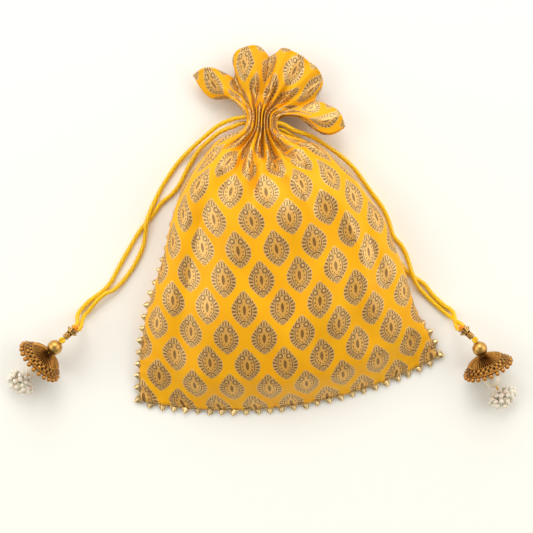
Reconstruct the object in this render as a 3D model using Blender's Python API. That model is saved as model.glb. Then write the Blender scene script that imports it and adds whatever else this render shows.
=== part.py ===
"""A potli: a drawstring pouch of silk brocade, lying on its back with its strings drawn.

Two cloth panels are seamed round three sides over a lace tape. Their upper part is gathered into
a packed casing that two drawstrings run round, one from each side, and above it the cloth fans out
as a frill. Each string ends in a tassel: whipping, bead cap, ring bead, knot, gold bead, bell cap,
large pearl and a cluster of seed pearls, strung on one thread.

X is across the bag, Y from the bottom seam to the frill, Z up from the table it lies on.
"""

import math

import bmesh
import bpy
import numpy as np
from mathutils import Matrix, Vector

MM = 0.001

# The cloth body, measured with the bag lying flat. AXIS_SHARE is how far the neck's line lies right
# of the middle of the bottom seam, and GATHER_START is where the rows begin to close on the neck.
BOTTOM_WIDTH = 203.2 * MM
BODY_LENGTH = 181.9 * MM
BODY_HEIGHT = 42.5 * MM
CLOTH_WALL = 1.2 * MM
BOTTOM_SAG = 18.0 * MM
RIGHT_CORNER_RISE = 30.4 * MM
SEAM_HEIGHT = 12.5 * MM
SIDE_TUCK = 4.5 * MM
SEAM_CLEARANCE = 0.3 * MM
RIM_SPARE = 0.09 * MM
FLOOR_CORNER = 24.0 * MM
AXIS_SHARE = 0.087
GATHER_START = 0.93
SEAM_CLOSE = (0.84, 0.06)

# The gathered neck that the strings run round.
NECK_X = -17.6 * MM
NECK_Y = 74.0 * MM
NECK_WIDTH = 24.0 * MM
NECK_HEIGHT = 23.0 * MM
NECK_LENGTH = 13.0 * MM
NECK_SLANT = 1.6 * MM
PLEATS = 9
PLEAT_DEPTH = 1.3 * MM

# The frill above the neck, a fan whose angles are counted from +X.
FRILL_REACH = 50.5 * MM
FRILL_LEFT_ANGLE = 146.0
FRILL_RIGHT_ANGLE = -5.0
FRILL_MOUTH = 12.5 * MM
FRILL_DROOP = 3.0 * MM
FRILL_FLOOR_GAP = 1.0 * MM
FRILL_MIDDLE_HEIGHT = 9.0 * MM
FRILL_RIGHT_LIFT = 19.0 * MM
FRILL_BACK_SHORTER = 1.0 * MM

# The strings and the casing tunnels they run in.
CORD_DIAMETER = 3.0 * MM
CORD_CLEARANCE = 0.3 * MM
LOOP_RADIUS = 6.8 * MM
LOOP_PITCH = 3.8 * MM
LOOP_EXIT = 1.35 * MM

# The lace tape sewn into the seams, with its row of folded points.
TAPE_THICKNESS = 0.6 * MM
TAPE_INSIDE = 2.0 * MM
LACE_PITCH = 8.1 * MM
LACE_POINT = 5.0 * MM
LACE_BAND = 0.6 * MM
LACE_POINT_HEIGHT = 0.9 * MM

# The tassels.
THREAD_DIAMETER = 1.4 * MM
BORE_CLEARANCE = 0.35 * MM
STRING_GAP = 0.6 * MM
WHIPPING_LENGTH = 3.2 * MM
WHIPPING_WIDTH = 7.0 * MM
WHIPPING_HEIGHT = 4.2 * MM
CAP_LENGTH = 2.6 * MM
CAP_DIAMETER = 8.0 * MM
RING_LENGTH = 3.6 * MM
RING_DIAMETER = 4.8 * MM
KNOT_LENGTH = 3.4 * MM
KNOT_DIAMETER = 4.0 * MM
BEAD_DIAMETER = 10.0 * MM
BELL_RIM_DIAMETER = 32.2 * MM
BELL_HEIGHT = 9.5 * MM
BELL_WALL = 0.9 * MM
BELL_BALLS = 22
BELL_BALL_DIAMETER = 3.2 * MM
BELL_RIB_DEPTH = 0.5 * MM
DOME_FULLNESS = 0.93
PEARL_DIAMETER = 11.0 * MM
CLUSTER_LENGTH = 13.0 * MM
CLUSTER_WIDTH = 18.5 * MM
CLUSTER_HEIGHT = 15.0 * MM
SEED_PEARL_DIAMETER = 4.6 * MM
SEED_PEARLS = 20
THREAD_SINK = 0.35 * MM
FLOOR_CLEARANCE = 0.1 * MM
BELL_LEAN = math.radians(14.0)
# How far each piece strung behind the bead points down: knot, ring bead, bead cap, whipping.
STRUNG_DIPS = tuple(math.radians(dip) for dip in (-3.0, 16.0, 32.0, 40.0))

# Each list gives the share of the cloth's length from the bottom seam, then the value there.
LEFT_SEAM_X = ((0, -0.495), (0.10, -0.492), (0.23, -0.475), (0.46, -0.422), (0.63, -0.385),
               (0.70, -0.359), (0.81, -0.306), (0.88, -0.259), (0.95, -0.199), (1, -0.146))
LEFT_SEAM_Y = ((0, 0), (0.10, 0.119), (0.23, 0.267), (0.46, 0.526), (0.63, 0.712), (0.70, 0.786),
               (0.81, 0.885), (0.88, 0.945), (0.95, 0.985), (1, 1))
RIGHT_SEAM_X = ((0, 0.505), (0.10, 0.472), (0.23, 0.415), (0.35, 0.379), (0.50, 0.322), (0.65, 0.239),
                (0.78, 0.156), (0.85, 0.100), (0.95, 0.012), (1, -0.028))
RIGHT_SEAM_Y = ((0, 0), (0.10, 0.120), (0.23, 0.276), (0.35, 0.423), (0.50, 0.601), (0.65, 0.757),
                (0.78, 0.886), (0.85, 0.935), (0.95, 0.985), (1, 1))
ROW_SAG = ((0, 1.0), (0.15, 1.4), (0.35, 1.1), (0.6, 0.78), (0.88, 0.53), (1, 0))
CROWN_HEIGHT = ((0, 0.085), (0.06, 0.33), (0.15, 0.66), (0.35, 0.94), (0.6, 1), (0.8, 0.90), (0.9, 0.76),
                (1, 0.57))
SEAM_RISE = ((0, 0.144), (0.06, 0.32), (0.15, 0.64), (0.35, 0.96), (0.6, 1), (1, 1))
TUCK_LEFT = ((0, 0), (0.28, 0), (0.5, 0.8), (0.8, 1), (1, 0))
TUCK_RIGHT = ((0, 0), (0.1, 0.6), (0.3, 1), (0.8, 1), (1, 0))
SQUARE_LEFT = ((0, 1.5), (0.15, 1.6), (0.35, 2.1), (0.6, 2.5), (0.85, 2.3), (1, 2))
SQUARE_RIGHT = ((0, 1.6), (0.15, 2.0), (0.35, 2.7), (0.6, 3.0), (0.85, 2.4), (1, 2))
PACKING = ((0, 0), (0.86, 0), (0.93, 0.45), (0.99, 1), (1, 1))

# Folds that run down from the neck: place across the cloth, depth, half width, and the shares of
# the cloth's length between which the fold lives.
FOLDS = (
    (-0.30, 6.0 * MM, 0.09, 0.60, 0.90),
    (-0.03, 3.0 * MM, 0.07, 0.70, 0.90),
    (0.12, 6.0 * MM, 0.08, 0.62, 0.90),
    (0.30, 4.5 * MM, 0.08, 0.66, 0.90),
    (0.62, 3.5 * MM, 0.10, 0.20, 0.90),
    (-0.58, 3.0 * MM, 0.10, 0.25, 0.90),
)
# Where the frill's edge dips between its petals: fan angle, share of the reach lost, half width.
PETAL_DIPS = ((123.0, 0.32, 9.0), (84.0, 0.15, 6.0), (20.0, 0.26, 9.0))

ACROSS = 36
# Rows of each panel: shares of the body, of the neck and of the frill.
FRONT_ROWS = ((0, 0.04, 0.10, 0.18, 0.28, 0.40, 0.52, 0.63, 0.72, 0.79, 0.85, 0.90, 0.94, 0.97),
              (0.0, 0.5, 1.0), (0.12, 0.28, 0.46, 0.64, 0.82, 1.0))
BACK_ROWS = ((0, 0.05, 0.14, 0.30, 0.50, 0.70, 0.84, 0.91, 0.96), (0.0, 1.0), (0.16, 0.36, 0.68, 1.0))

# Points that the strings follow from the neck to the whipping, chosen along the real ones.
LEFT_UPPER_STRAND = ((-38.8, 76.4, 11.5), (-48.0, 72.2, 9.5), (-59.8, 62.8, 6.0), (-67.8, 55.7, 3.5),
                     (-76.0, 46.9, 1.8), (-85.4, 32.8, 1.6), (-90.8, 22.3, 1.6), (-94.6, 13.6, 3.2),
                     (-96.6, 7.0, 4.8), (-97.6, -1.4, 2.6), (-99.6, -10.5, 1.6), (-105.1, -22.1, 1.6),
                     (-111.8, -31.7, 1.7), (-118.5, -38.6, 3.0), (-125.2, -42.0, 4.8), (-130.6, -46.8, 4.4),
                     (-134.6, -51.6, 3.2), (-139.6, -57.6, 3.6))
LEFT_LOWER_STRAND = ((-36.9, 72.0, 11.0), (-45.7, 68.6, 9.0), (-53.5, 63.0, 6.5), (-60.8, 56.3, 4.2),
                     (-66.2, 48.2, 2.4), (-70.2, 41.0, 1.6), (-74.2, 33.2, 1.6), (-79.6, 26.4, 1.6),
                     (-86.8, 20.2, 1.6), (-93.0, 11.6, 1.6), (-101.2, 1.6, 1.6), (-108.4, -10.5, 1.6),
                     (-115.2, -22.6, 1.6), (-120.4, -32.4, 1.6), (-124.8, -38.0, 1.6), (-130.0, -42.4, 1.7),
                     (-136.9, -47.7, 2.2), (-143.4, -55.6, 3.8))
RIGHT_UPPER_STRAND = ((4.6, 69.3, 11.0), (15.6, 65.6, 9.5), (27.6, 58.4, 7.5), (37.2, 51.6, 5.4),
                      (45.8, 43.6, 3.6), (52.6, 34.6, 2.4), (58.6, 26.3, 1.7), (64.9, 17.6, 1.6),
                      (69.0, 8.9, 1.6), (72.6, -2.0, 1.6), (77.9, -8.4, 1.6), (81.4, -15.2, 1.7),
                      (83.6, -22.6, 3.0), (85.6, -29.4, 4.8), (88.6, -35.8, 3.4), (94.9, -42.9, 1.7),
                      (104.0, -51.4, 1.7), (110.6, -57.0, 2.8))
RIGHT_LOWER_STRAND = ((4.6, 65.4, 7.4), (13.6, 60.4, 5.6), (23.6, 53.6, 5.2), (32.6, 46.8, 3.2),
                      (41.0, 38.8, 1.8), (48.4, 29.6, 1.6), (55.2, 19.4, 1.6), (61.2, 8.0, 1.6),
                      (65.8, -2.6, 1.6), (70.4, -9.8, 1.6), (75.0, -17.6, 1.6), (80.8, -25.2, 1.6),
                      (87.4, -30.6, 1.6), (94.0, -35.4, 1.6), (99.2, -42.0, 1.6), (106.4, -49.0, 1.7),
                      (113.2, -54.4, 2.8))

# Where each tassel lies: the middle of its gold bead, the way its bell opens and, from the bead,
# where its strung pieces and its pearls lie.
LEFT_TASSEL = {
    "bead": (-156.5, -77.2), "opens": (-0.74, -0.67), "trail": (0.72, 0.69),
    "pearl": (-173.2, -92.6), "cluster": (-182.0, -102.0),
}
RIGHT_TASSEL = {
    "bead": (128.6, -78.2), "opens": (0.42, -0.91), "trail": (-0.72, 0.69),
    "pearl": (139.2, -100.4), "cluster": (146.6, -112.0),
}


def follow(stations, at):
    """Reads a smooth curve through (place, value) stations. It keeps flat where they keep flat."""
    x = np.array([station[0] for station in stations], float)
    y = np.array([station[1] for station in stations], float)
    step = np.diff(x)
    rise = np.diff(y) / step
    slope = np.zeros_like(y)
    same = rise[1:] * rise[:-1] > 0
    slope[1:-1][same] = 2 * rise[1:][same] * rise[:-1][same] / (rise[1:] + rise[:-1])[same]
    slope[0], slope[-1] = rise[0], rise[-1]
    at = np.clip(np.asarray(at, float), x[0], x[-1])
    i = np.clip(np.searchsorted(x, at, side="right") - 1, 0, len(step) - 1)
    s = (at - x[i]) / step[i]
    return (
        y[i] * (1 + 2 * s) * (1 - s) ** 2 + y[i + 1] * s * s * (3 - 2 * s)
        + slope[i] * step[i] * s * (1 - s) ** 2 - slope[i + 1] * step[i] * s * s * (1 - s)
    )


def ease(x):
    """Rises from 0 to 1 with level ends."""
    x = np.clip(x, 0, 1)
    return x * x * (3 - 2 * x)


def material(name, colour, roughness, metallic=0.0):
    """Makes a plain finish with its colour, roughness and metallic value."""
    made = bpy.data.materials.new(name)
    made.use_nodes = True
    shader = made.node_tree.nodes["Principled BSDF"]
    shader.inputs["Base Color"].default_value = (*colour, 1)
    shader.inputs["Roughness"].default_value = roughness
    shader.inputs["Metallic"].default_value = metallic
    return made


def mesh_object(name, points, faces, finish):
    """Makes a closed mesh object whose faces point out."""
    mesh = bpy.data.meshes.new(name)
    mesh.from_pydata([tuple(point) for point in points], [], [tuple(face) for face in faces])
    shape = bmesh.new()
    shape.from_mesh(mesh)
    bmesh.ops.recalc_face_normals(shape, faces=shape.faces)
    shape.to_mesh(mesh)
    shape.free()
    mesh.shade_smooth()
    mesh.materials.append(finish)
    made = bpy.data.objects.new(name, mesh)
    bpy.context.scene.collection.objects.link(made)
    return made


def body_chord(t):
    """The two ends of a row across the body, on its outline at share t of the cloth's length."""
    foot = NECK_Y - NECK_LENGTH / 2 - BODY_LENGTH
    left = np.array((
        NECK_X + BOTTOM_WIDTH * (follow(LEFT_SEAM_X, t) + AXIS_SHARE),
        foot + BODY_LENGTH * follow(LEFT_SEAM_Y, t),
    ))
    right_run = BODY_LENGTH - RIGHT_CORNER_RISE
    right = np.array((
        NECK_X + BOTTOM_WIDTH * (follow(RIGHT_SEAM_X, t) + AXIS_SHARE),
        foot + RIGHT_CORNER_RISE + right_run * follow(RIGHT_SEAM_Y, t),
    ))
    neck = np.array((NECK_X, NECK_Y - NECK_LENGTH / 2))
    drawn = ease((t - GATHER_START) / (1 - GATHER_START))
    left = left * (1 - drawn) + drawn * (neck - (NECK_WIDTH / 2, 0))
    right = right * (1 - drawn) + drawn * (neck + (NECK_WIDTH / 2, 0))
    return left, right


def seam_gap(t):
    """Half the room between the panels: the lace tape's, and next to nothing from the neck up."""
    closed = ease((t - SEAM_CLOSE[0]) / SEAM_CLOSE[1])
    apart = TAPE_THICKNESS / 2 + SEAM_CLEARANCE + RIM_SPARE
    return apart * (1 - closed) + SEAM_CLEARANCE / 2 * closed


def even_section(x, z):
    """Reads ACROSS + 1 points spaced evenly along a section curve."""
    along = np.concatenate([[0], np.cumsum(np.hypot(np.diff(x), np.diff(z)))])
    wanted = np.linspace(0, along[-1], ACROSS + 1)
    return np.interp(wanted, along, x), np.interp(wanted, along, z)


def front_row(t):
    """The front panel's inner face along one row of the body."""
    left, right = body_chord(t)
    half = np.linalg.norm(right - left) / 2
    seam = SEAM_HEIGHT * follow(SEAM_RISE, t) + seam_gap(t)
    packed = follow(PACKING, t)
    crown = BODY_HEIGHT * follow(CROWN_HEIGHT, t) - CLOTH_WALL
    crown = max(crown * (1 - packed) + packed * seam, seam)
    turn = np.linspace(math.pi, 0, 241)
    square = np.where(turn > math.pi / 2, follow(SQUARE_LEFT, t), follow(SQUARE_RIGHT, t))
    x = np.sign(np.cos(turn)) * np.abs(np.cos(turn)) ** (2 / square)
    up = np.abs(np.sin(turn)) ** (2 / square)
    tuck = np.where(x < 0, -follow(TUCK_LEFT, t), follow(TUCK_RIGHT, t)) * SIDE_TUCK
    bulge = tuck * (np.sin(math.pi * np.clip(up, 0, 1)) - 1) * ease((np.abs(x) - 0.5) / 0.4)
    across, z = even_section(x * half + bulge, seam + (crown - seam) * up)
    return place_row(left, right, across / half, z, t)


def back_row(t):
    """The back panel's inner face along one row of the body, level where it lies on the table."""
    left, right = body_chord(t)
    half = np.linalg.norm(right - left) / 2
    seam = SEAM_HEIGHT * follow(SEAM_RISE, t) - seam_gap(t)
    packed = follow(PACKING, t)
    floor = min(CLOTH_WALL * (1 - packed) + packed * seam, seam)
    corner = min(FLOOR_CORNER, 0.7 * half)
    x = -np.cos(np.linspace(0, math.pi, 241)) * half
    reach = np.clip((np.abs(x) - (half - corner)) / corner, 0, 1)
    z = floor + (seam - floor) * (1 - np.sqrt(1 - reach**2))
    tuck = np.where(x < 0, -follow(TUCK_LEFT, t), follow(TUCK_RIGHT, t)) * SIDE_TUCK
    across, z = even_section(x - tuck * ease((np.abs(x) / half - 0.5) / 0.4), z)
    return place_row(left, right, across / half, z, t)


def place_row(left, right, share, z, t):
    """Lays a section between the row's two ends, with the sag that it has in plan."""
    middle, arm = (left + right) / 2, (right - left) / 2
    down = np.array((arm[1], -arm[0])) / np.linalg.norm(arm)
    sag = BOTTOM_SAG * follow(ROW_SAG, t) * np.clip(1 - share**2, 0, 1)
    flat = middle + share[:, None] * arm + sag[:, None] * down
    return np.column_stack([flat, z])


def fold_depth(t):
    """How far the folds that run down from the neck sink along one row of the front."""
    u = np.linspace(-1, 1, ACROSS + 1)
    sunk = np.zeros_like(u)
    for place, depth, width, start, end in FOLDS:
        alive = ease((t - start) / (0.45 * (end - start))) * (1 - ease((t - end) / 0.05))
        sunk += depth * alive * np.exp(-(((u - place) / width) ** 2))
    return sunk


def neck_row(share, side):
    """The level inner face of one panel's packed casing. side is 1 for the front, -1 for the back."""
    u = np.linspace(-1, 1, ACROSS + 1)
    x = NECK_X + u * NECK_WIDTH / 2
    y = NECK_Y + NECK_LENGTH * (share - 0.5) - NECK_SLANT * u * ease(share)
    return np.column_stack([x, y, np.full_like(u, SEAM_HEIGHT + side * SEAM_CLEARANCE / 2)])


def frill_row(share, side):
    """One panel's inner face across the frill, at a share of the way from the neck to its edge."""
    u = np.linspace(-1, 1, ACROSS + 1)
    angle = FRILL_LEFT_ANGLE + (FRILL_RIGHT_ANGLE - FRILL_LEFT_ANGLE) * (u + 1) / 2
    dip = sum(lost * np.exp(-(((angle - at) / width) ** 2)) for at, lost, width in PETAL_DIPS)
    valley = np.clip(sum(np.exp(-(((angle - at) / width) ** 2)) for at, _, width in PETAL_DIPS), 0, 1)
    reach = FRILL_REACH * (1 - dip + 0.11 * np.abs(u) ** 5) - (FRILL_BACK_SHORTER if side < 0 else 0)
    turn = np.radians(angle)
    root = neck_row(1.0, side)
    edge = np.column_stack([NECK_X + reach * np.cos(turn), NECK_Y + 2 * MM + reach * np.sin(turn)])
    flat = root[:, :2] * (1 - share) + edge * share
    droop = (math.sin(math.pi * share) - 1.5 * math.sin(2 * math.pi * share)) * np.abs(u) ** 4
    flat[:, 1] -= FRILL_DROOP * droop
    lifted = np.where(u > 0, FRILL_RIGHT_LIFT, FRILL_MIDDLE_HEIGHT)
    seam = SEAM_HEIGHT + (lifted - SEAM_HEIGHT) * ease(share / 0.7)
    middle = SEAM_HEIGHT * (1 - share) + FRILL_MIDDLE_HEIGHT * share
    seam = middle + (seam - middle) * np.abs(u) ** 3
    if side > 0:
        opened = FRILL_MOUTH * (1 - np.abs(u) ** 6) * (1 - 0.75 * valley) * ease(share / 0.6)
        z = seam + SEAM_CLEARANCE / 2 + opened * 0.6
    else:
        floor = CLOTH_WALL + FRILL_FLOOR_GAP
        fallen = 0.95 * (1 - np.abs(u) ** 6) * ease(share / 0.8)
        z = seam - SEAM_CLEARANCE / 2 - (seam - floor) * fallen
    return np.column_stack([flat, z])


def normals_of(grid, side):
    """The direction away from the bag's inside at each point of a grid."""
    across = np.gradient(grid, axis=1)
    along = np.gradient(grid, axis=0)
    normal = np.cross(across, along)
    return side * normal / np.maximum(np.linalg.norm(normal, axis=2, keepdims=True), 1e-12)


def panel_grids(side):
    """A panel's inner and outer faces as two grids of points."""
    inner, packed, pleat = [], [], []
    u = np.linspace(-1, 1, ACROSS + 1)
    round_top = np.sqrt(np.clip(1 - u**2, 0, 1))
    pack = NECK_HEIGHT / 2 - CLOTH_WALL - SEAM_CLEARANCE / 2
    body_rows, neck_rows, frill_rows = FRONT_ROWS if side > 0 else BACK_ROWS
    for t in body_rows:
        row = front_row(t) if side > 0 else back_row(t)
        if side > 0:
            room = row[:, 2] - (SEAM_HEIGHT * follow(SEAM_RISE, t) + seam_gap(t))
            row[:, 2] -= np.minimum(fold_depth(t), 0.6 * room)
        inner.append(row)
        packed.append(follow(PACKING, t))
        pleat.append(ease((t - 0.74) / 0.2) if side > 0 else ease((t - 0.86) / 0.1))
    for share in neck_rows:
        inner.append(neck_row(share, side))
        packed.append(1.0)
        pleat.append(1.0)
    for share in frill_rows:
        inner.append(frill_row(share, side))
        packed.append(1 - ease(share / 0.35))
        pleat.append(1 - ease((share - 0.05) / 0.5))
    inner = np.array(inner)
    outer = inner + CLOTH_WALL * normals_of(inner, side)
    outer[:, :, 2] += side * pack * np.array(packed)[:, None] * round_top
    wave = 0.5 - 0.5 * np.cos(math.pi * PLEATS * (u + 1))
    outer += normals_of(outer, side) * (np.array(pleat)[:, None] * wave * PLEAT_DEPTH)[:, :, None]
    return seated(inner, outer, side)


def seated(inner, outer, side):
    """Keeps the rims clear of the tape and the back on the table."""
    body_rows = (FRONT_ROWS if side > 0 else BACK_ROWS)[0]
    rows = len(body_rows)
    for k, t in enumerate(body_rows):
        level = SEAM_HEIGHT * follow(SEAM_RISE, t) + side * seam_gap(t)
        for grid in (inner, outer):
            rim = (slice(None),) if k == 0 else ([0, -1],)
            z = grid[k][rim[0], 2]
            grid[k][rim[0], 2] = np.maximum(z, level) if side > 0 else np.minimum(z, level)
    for grid in (inner, outer):
        z = grid[rows:, [0, -1], 2]
        other = inner[rows:, [0, -1], 2]
        grid[rows:, [0, -1], 2] = np.maximum(z, other) if side > 0 else np.minimum(z, other)
    if side < 0:
        outer[:, :, 2] = np.maximum(outer[:, :, 2], 0)
    return inner, outer


def panel(name, side, finish):
    """Builds one cloth panel as a closed sheet."""
    inner, outer = panel_grids(side)
    rows, columns = inner.shape[:2]
    number = np.arange(rows * columns).reshape(rows, columns)
    other = number + rows * columns
    faces = []
    for grid in (number, other[::-1]):
        corners = [grid[:-1, :-1], grid[:-1, 1:], grid[1:, 1:], grid[1:, :-1]]
        faces += np.stack(corners, -1).reshape(-1, 4).tolist()
    ring = np.concatenate([number[0, :-1], number[:-1, -1], number[-1, :0:-1], number[:0:-1, 0]])
    far = ring + rows * columns
    faces += np.stack([np.roll(ring, -1), ring, far, np.roll(far, -1)], -1).tolist()
    points = np.concatenate([inner.reshape(-1, 3), outer.reshape(-1, 3)])
    return mesh_object(name, points, faces, finish)


def catmull(points, spacing):
    """Reads points at about the spacing given, on a smooth curve through the chosen ones."""
    points = np.array(points, float)
    padded = np.vstack([2 * points[0] - points[1], points, 2 * points[-1] - points[-2]])
    fine = []
    for i in range(1, len(padded) - 2):
        p0, p1, p2, p3 = padded[i - 1 : i + 3]
        s = np.linspace(0, 1, 24, endpoint=False)[:, None]
        fine.append(
            0.5 * (2 * p1 + (p2 - p0) * s + (2 * p0 - 5 * p1 + 4 * p2 - p3) * s**2
                   + (3 * p1 - p0 - 3 * p2 + p3) * s**3)
        )
    fine = np.vstack([*fine, points[-1:]])
    along = np.concatenate([[0], np.cumsum(np.linalg.norm(np.diff(fine, axis=0), axis=1))])
    count = max(int(round(along[-1] / spacing)), 2)
    wanted = np.linspace(0, along[-1], count + 1)
    return np.column_stack([np.interp(wanted, along, fine[:, k]) for k in range(3)])


def tube(name, points, diameter, finish):
    """A round cord along the points, with closed ends."""
    curve = bpy.data.curves.new(name, "CURVE")
    curve.dimensions = "3D"
    curve.bevel_depth = diameter / 2
    curve.bevel_resolution = 2
    curve.use_fill_caps = True
    line = curve.splines.new("POLY")
    line.points.add(len(points) - 1)
    line.points.foreach_set("co", np.column_stack([points, np.ones(len(points))]).ravel())
    curve.materials.append(finish)
    made = bpy.data.objects.new(name, curve)
    bpy.context.scene.collection.objects.link(made)
    return made


def neck_loop(side, high):
    """The string's turn round the gathers: in at one side, over the front, back under."""
    turn = np.radians(np.linspace(120, -120, 11))
    if side > 0:
        turn = math.pi - turn
    fall = np.linspace(0.5, -0.5, 11) * LOOP_PITCH
    centre = NECK_X
    x = centre + LOOP_RADIUS * np.cos(turn)
    z = SEAM_HEIGHT + LOOP_RADIUS * np.sin(turn)
    y = high + fall
    ring = np.column_stack([x, y, z])
    out = side * (NECK_WIDTH / 2 + 1 * MM)
    first = np.array([centre + out, y[0], SEAM_HEIGHT + LOOP_EXIT])
    last = np.array([centre + out, y[-1], SEAM_HEIGHT - LOOP_EXIT])
    return np.vstack([first, ring, last])


def drawstring_points(side):
    """The whole string, from the whipping round the neck and back, at even spacing."""
    if side < 0:
        upper, lower, tassel = LEFT_UPPER_STRAND, LEFT_LOWER_STRAND, LEFT_TASSEL
        high = NECK_Y + LOOP_PITCH / 2 + 0.2 * MM
    else:
        upper, lower, tassel = RIGHT_UPPER_STRAND, RIGHT_LOWER_STRAND, RIGHT_TASSEL
        high = NECK_Y - LOOP_PITCH / 2 - 0.2 * MM
    string = Stringing(tassel)
    ends = string.strand_ends()
    loop = neck_loop(side, high)
    first = np.array(upper)[::-1] * MM
    last = np.array(lower) * MM
    strand_step = 2.9 * CORD_DIAMETER
    start = catmull(np.vstack([ends[0][::-1], first, loop[:2]]), strand_step)
    middle = catmull(loop, 1.1 * CORD_DIAMETER)
    end = catmull(np.vstack([loop[-2:], last, ends[1]]), strand_step)
    keep_start = start[: -max(int(round(np.linalg.norm(loop[1] - loop[0]) / strand_step)), 1)]
    keep_end = end[max(int(round(np.linalg.norm(loop[-1] - loop[-2]) / strand_step)), 1) :]
    return np.vstack([keep_start[:-1], middle, keep_end[1:]])


class Stringing:
    """Where the pieces of one tassel lie along its thread."""

    def __init__(self, tassel):
        opens = np.array(tassel["opens"]) / np.linalg.norm(tassel["opens"])
        lean = BELL_LEAN
        self.axis = np.array((*(opens * math.cos(lean)), -math.sin(lean)))
        rim_radius = (BELL_RIM_DIAMETER + BELL_BALL_DIAMETER) / 2
        rim_height = rim_radius * math.cos(lean) + FLOOR_CLEARANCE
        self.to_rim = BEAD_DIAMETER / 2 + STRING_GAP + BELL_HEIGHT
        bead_height = rim_height + self.to_rim * math.sin(lean)
        self.bead = np.array((*(np.array(tassel["bead"]) * MM), bead_height))
        self.apex = self.bead + self.axis * (BEAD_DIAMETER / 2 + STRING_GAP)
        self.rim = self.apex + self.axis * BELL_HEIGHT
        trail = np.array(tassel["trail"]) / np.linalg.norm(tassel["trail"])
        lengths = (KNOT_LENGTH, RING_LENGTH, CAP_LENGTH, WHIPPING_LENGTH)
        self.places, self.ways, self.joints = [], [], []
        end = self.bead - self.axis * (BEAD_DIAMETER / 2 + STRING_GAP / 2)
        for length, dip in zip(lengths, STRUNG_DIPS):
            way = np.array((*(trail * math.cos(dip)), -math.sin(dip)))
            self.joints.append(end)
            self.places.append(end + way * (STRING_GAP + length) / 2)
            self.ways.append(way)
            end = end + way * (STRING_GAP + length)
        pearl_height = PEARL_DIAMETER / 2 + FLOOR_CLEARANCE
        self.pearl = np.array((*(np.array(tassel["pearl"]) * MM), pearl_height))
        cluster_height = CLUSTER_HEIGHT / 2 + FLOOR_CLEARANCE
        self.cluster = np.array((*(np.array(tassel["cluster"]) * MM), cluster_height))
        self.pearl_way = self.cluster - self.pearl
        self.pearl_way /= np.linalg.norm(self.pearl_way)

    def strand_ends(self):
        """Where the string's two ends run up to the whipping, side by side: approach, then end."""
        way = self.ways[-1]
        side = np.cross(way, (0, 0, 1))
        side /= np.linalg.norm(side)
        end = self.places[-1] + way * (WHIPPING_LENGTH / 2 + 2 * CORD_CLEARANCE)
        apart = side * (CORD_DIAMETER + CORD_CLEARANCE) / 2
        run = way * 1.5 * CORD_DIAMETER
        return np.array((end + apart + run, end + apart)), np.array((end - apart + run, end - apart))

    def thread_points(self):
        """The thread, from the whipping through every bead to the cluster."""
        start = self.places[-1] + self.ways[-1] * WHIPPING_LENGTH / 2
        inside = self.apex + self.axis * 0.8 * BELL_HEIGHT
        entry = self.pearl - self.pearl_way * PEARL_DIAMETER / 2
        end = self.cluster - self.pearl_way * (CLUSTER_LENGTH / 2 - THREAD_SINK)
        chain = [start, *self.joints[::-1], self.bead, self.apex, inside]
        chain += [entry - self.pearl_way * 2 * MM, entry, self.pearl, end]
        return catmull(chain, 2.6 * THREAD_DIAMETER)


def turned(name, profile, origin, axis, segments, finish, ripple=None):
    """Turns a closed profile of (along the axis, radius) round an axis, as one ring of wall."""
    axis = Vector(axis).normalized()
    turn = axis.to_track_quat("Z", "Y").to_matrix()
    profile = np.array(profile)
    angle = 2 * math.pi * np.arange(segments) / segments
    radius = profile[:, 1][None, :] * np.ones((segments, 1))
    along = profile[:, 0][None, :] * np.ones((segments, 1))
    if ripple is not None:
        radius, along = ripple(angle[:, None], radius, along)
    points = np.stack([radius * np.cos(angle)[:, None], radius * np.sin(angle)[:, None], along], -1)
    number = np.arange(segments * len(profile)).reshape(segments, -1)
    after = np.roll(number, -1, axis=0)
    faces = np.stack([number, after, np.roll(after, -1, 1), np.roll(number, -1, 1)], -1)
    made = mesh_object(name, points.reshape(-1, 3), faces.reshape(-1, 4), finish)
    made.matrix_world = Matrix.Translation(Vector(origin)) @ turn.to_4x4()
    return made


def bored_ball(name, diameter, origin, axis, segments, rows, finish, length=None):
    """A bead with a hole along its axis. length under the diameter gives it level ends."""
    bore = THREAD_DIAMETER / 2 + BORE_CLEARANCE
    radius = diameter / 2
    half = length / 2 if length else radius
    swell = np.linspace(-1, 1, rows)
    edge = math.asin(min(math.sqrt(1 - (bore / radius) ** 2), 1.0))
    angle = swell * edge
    outer = [(half * math.sin(a) / math.sin(edge), radius * math.cos(a)) for a in angle]
    outer[0] = (outer[0][0], bore + 0.4 * MM)
    outer[-1] = (outer[-1][0], bore + 0.4 * MM)
    profile = [(outer[0][0], bore), *outer, (outer[-1][0], bore)]
    return turned(name, profile, origin, axis, segments, finish)


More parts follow.
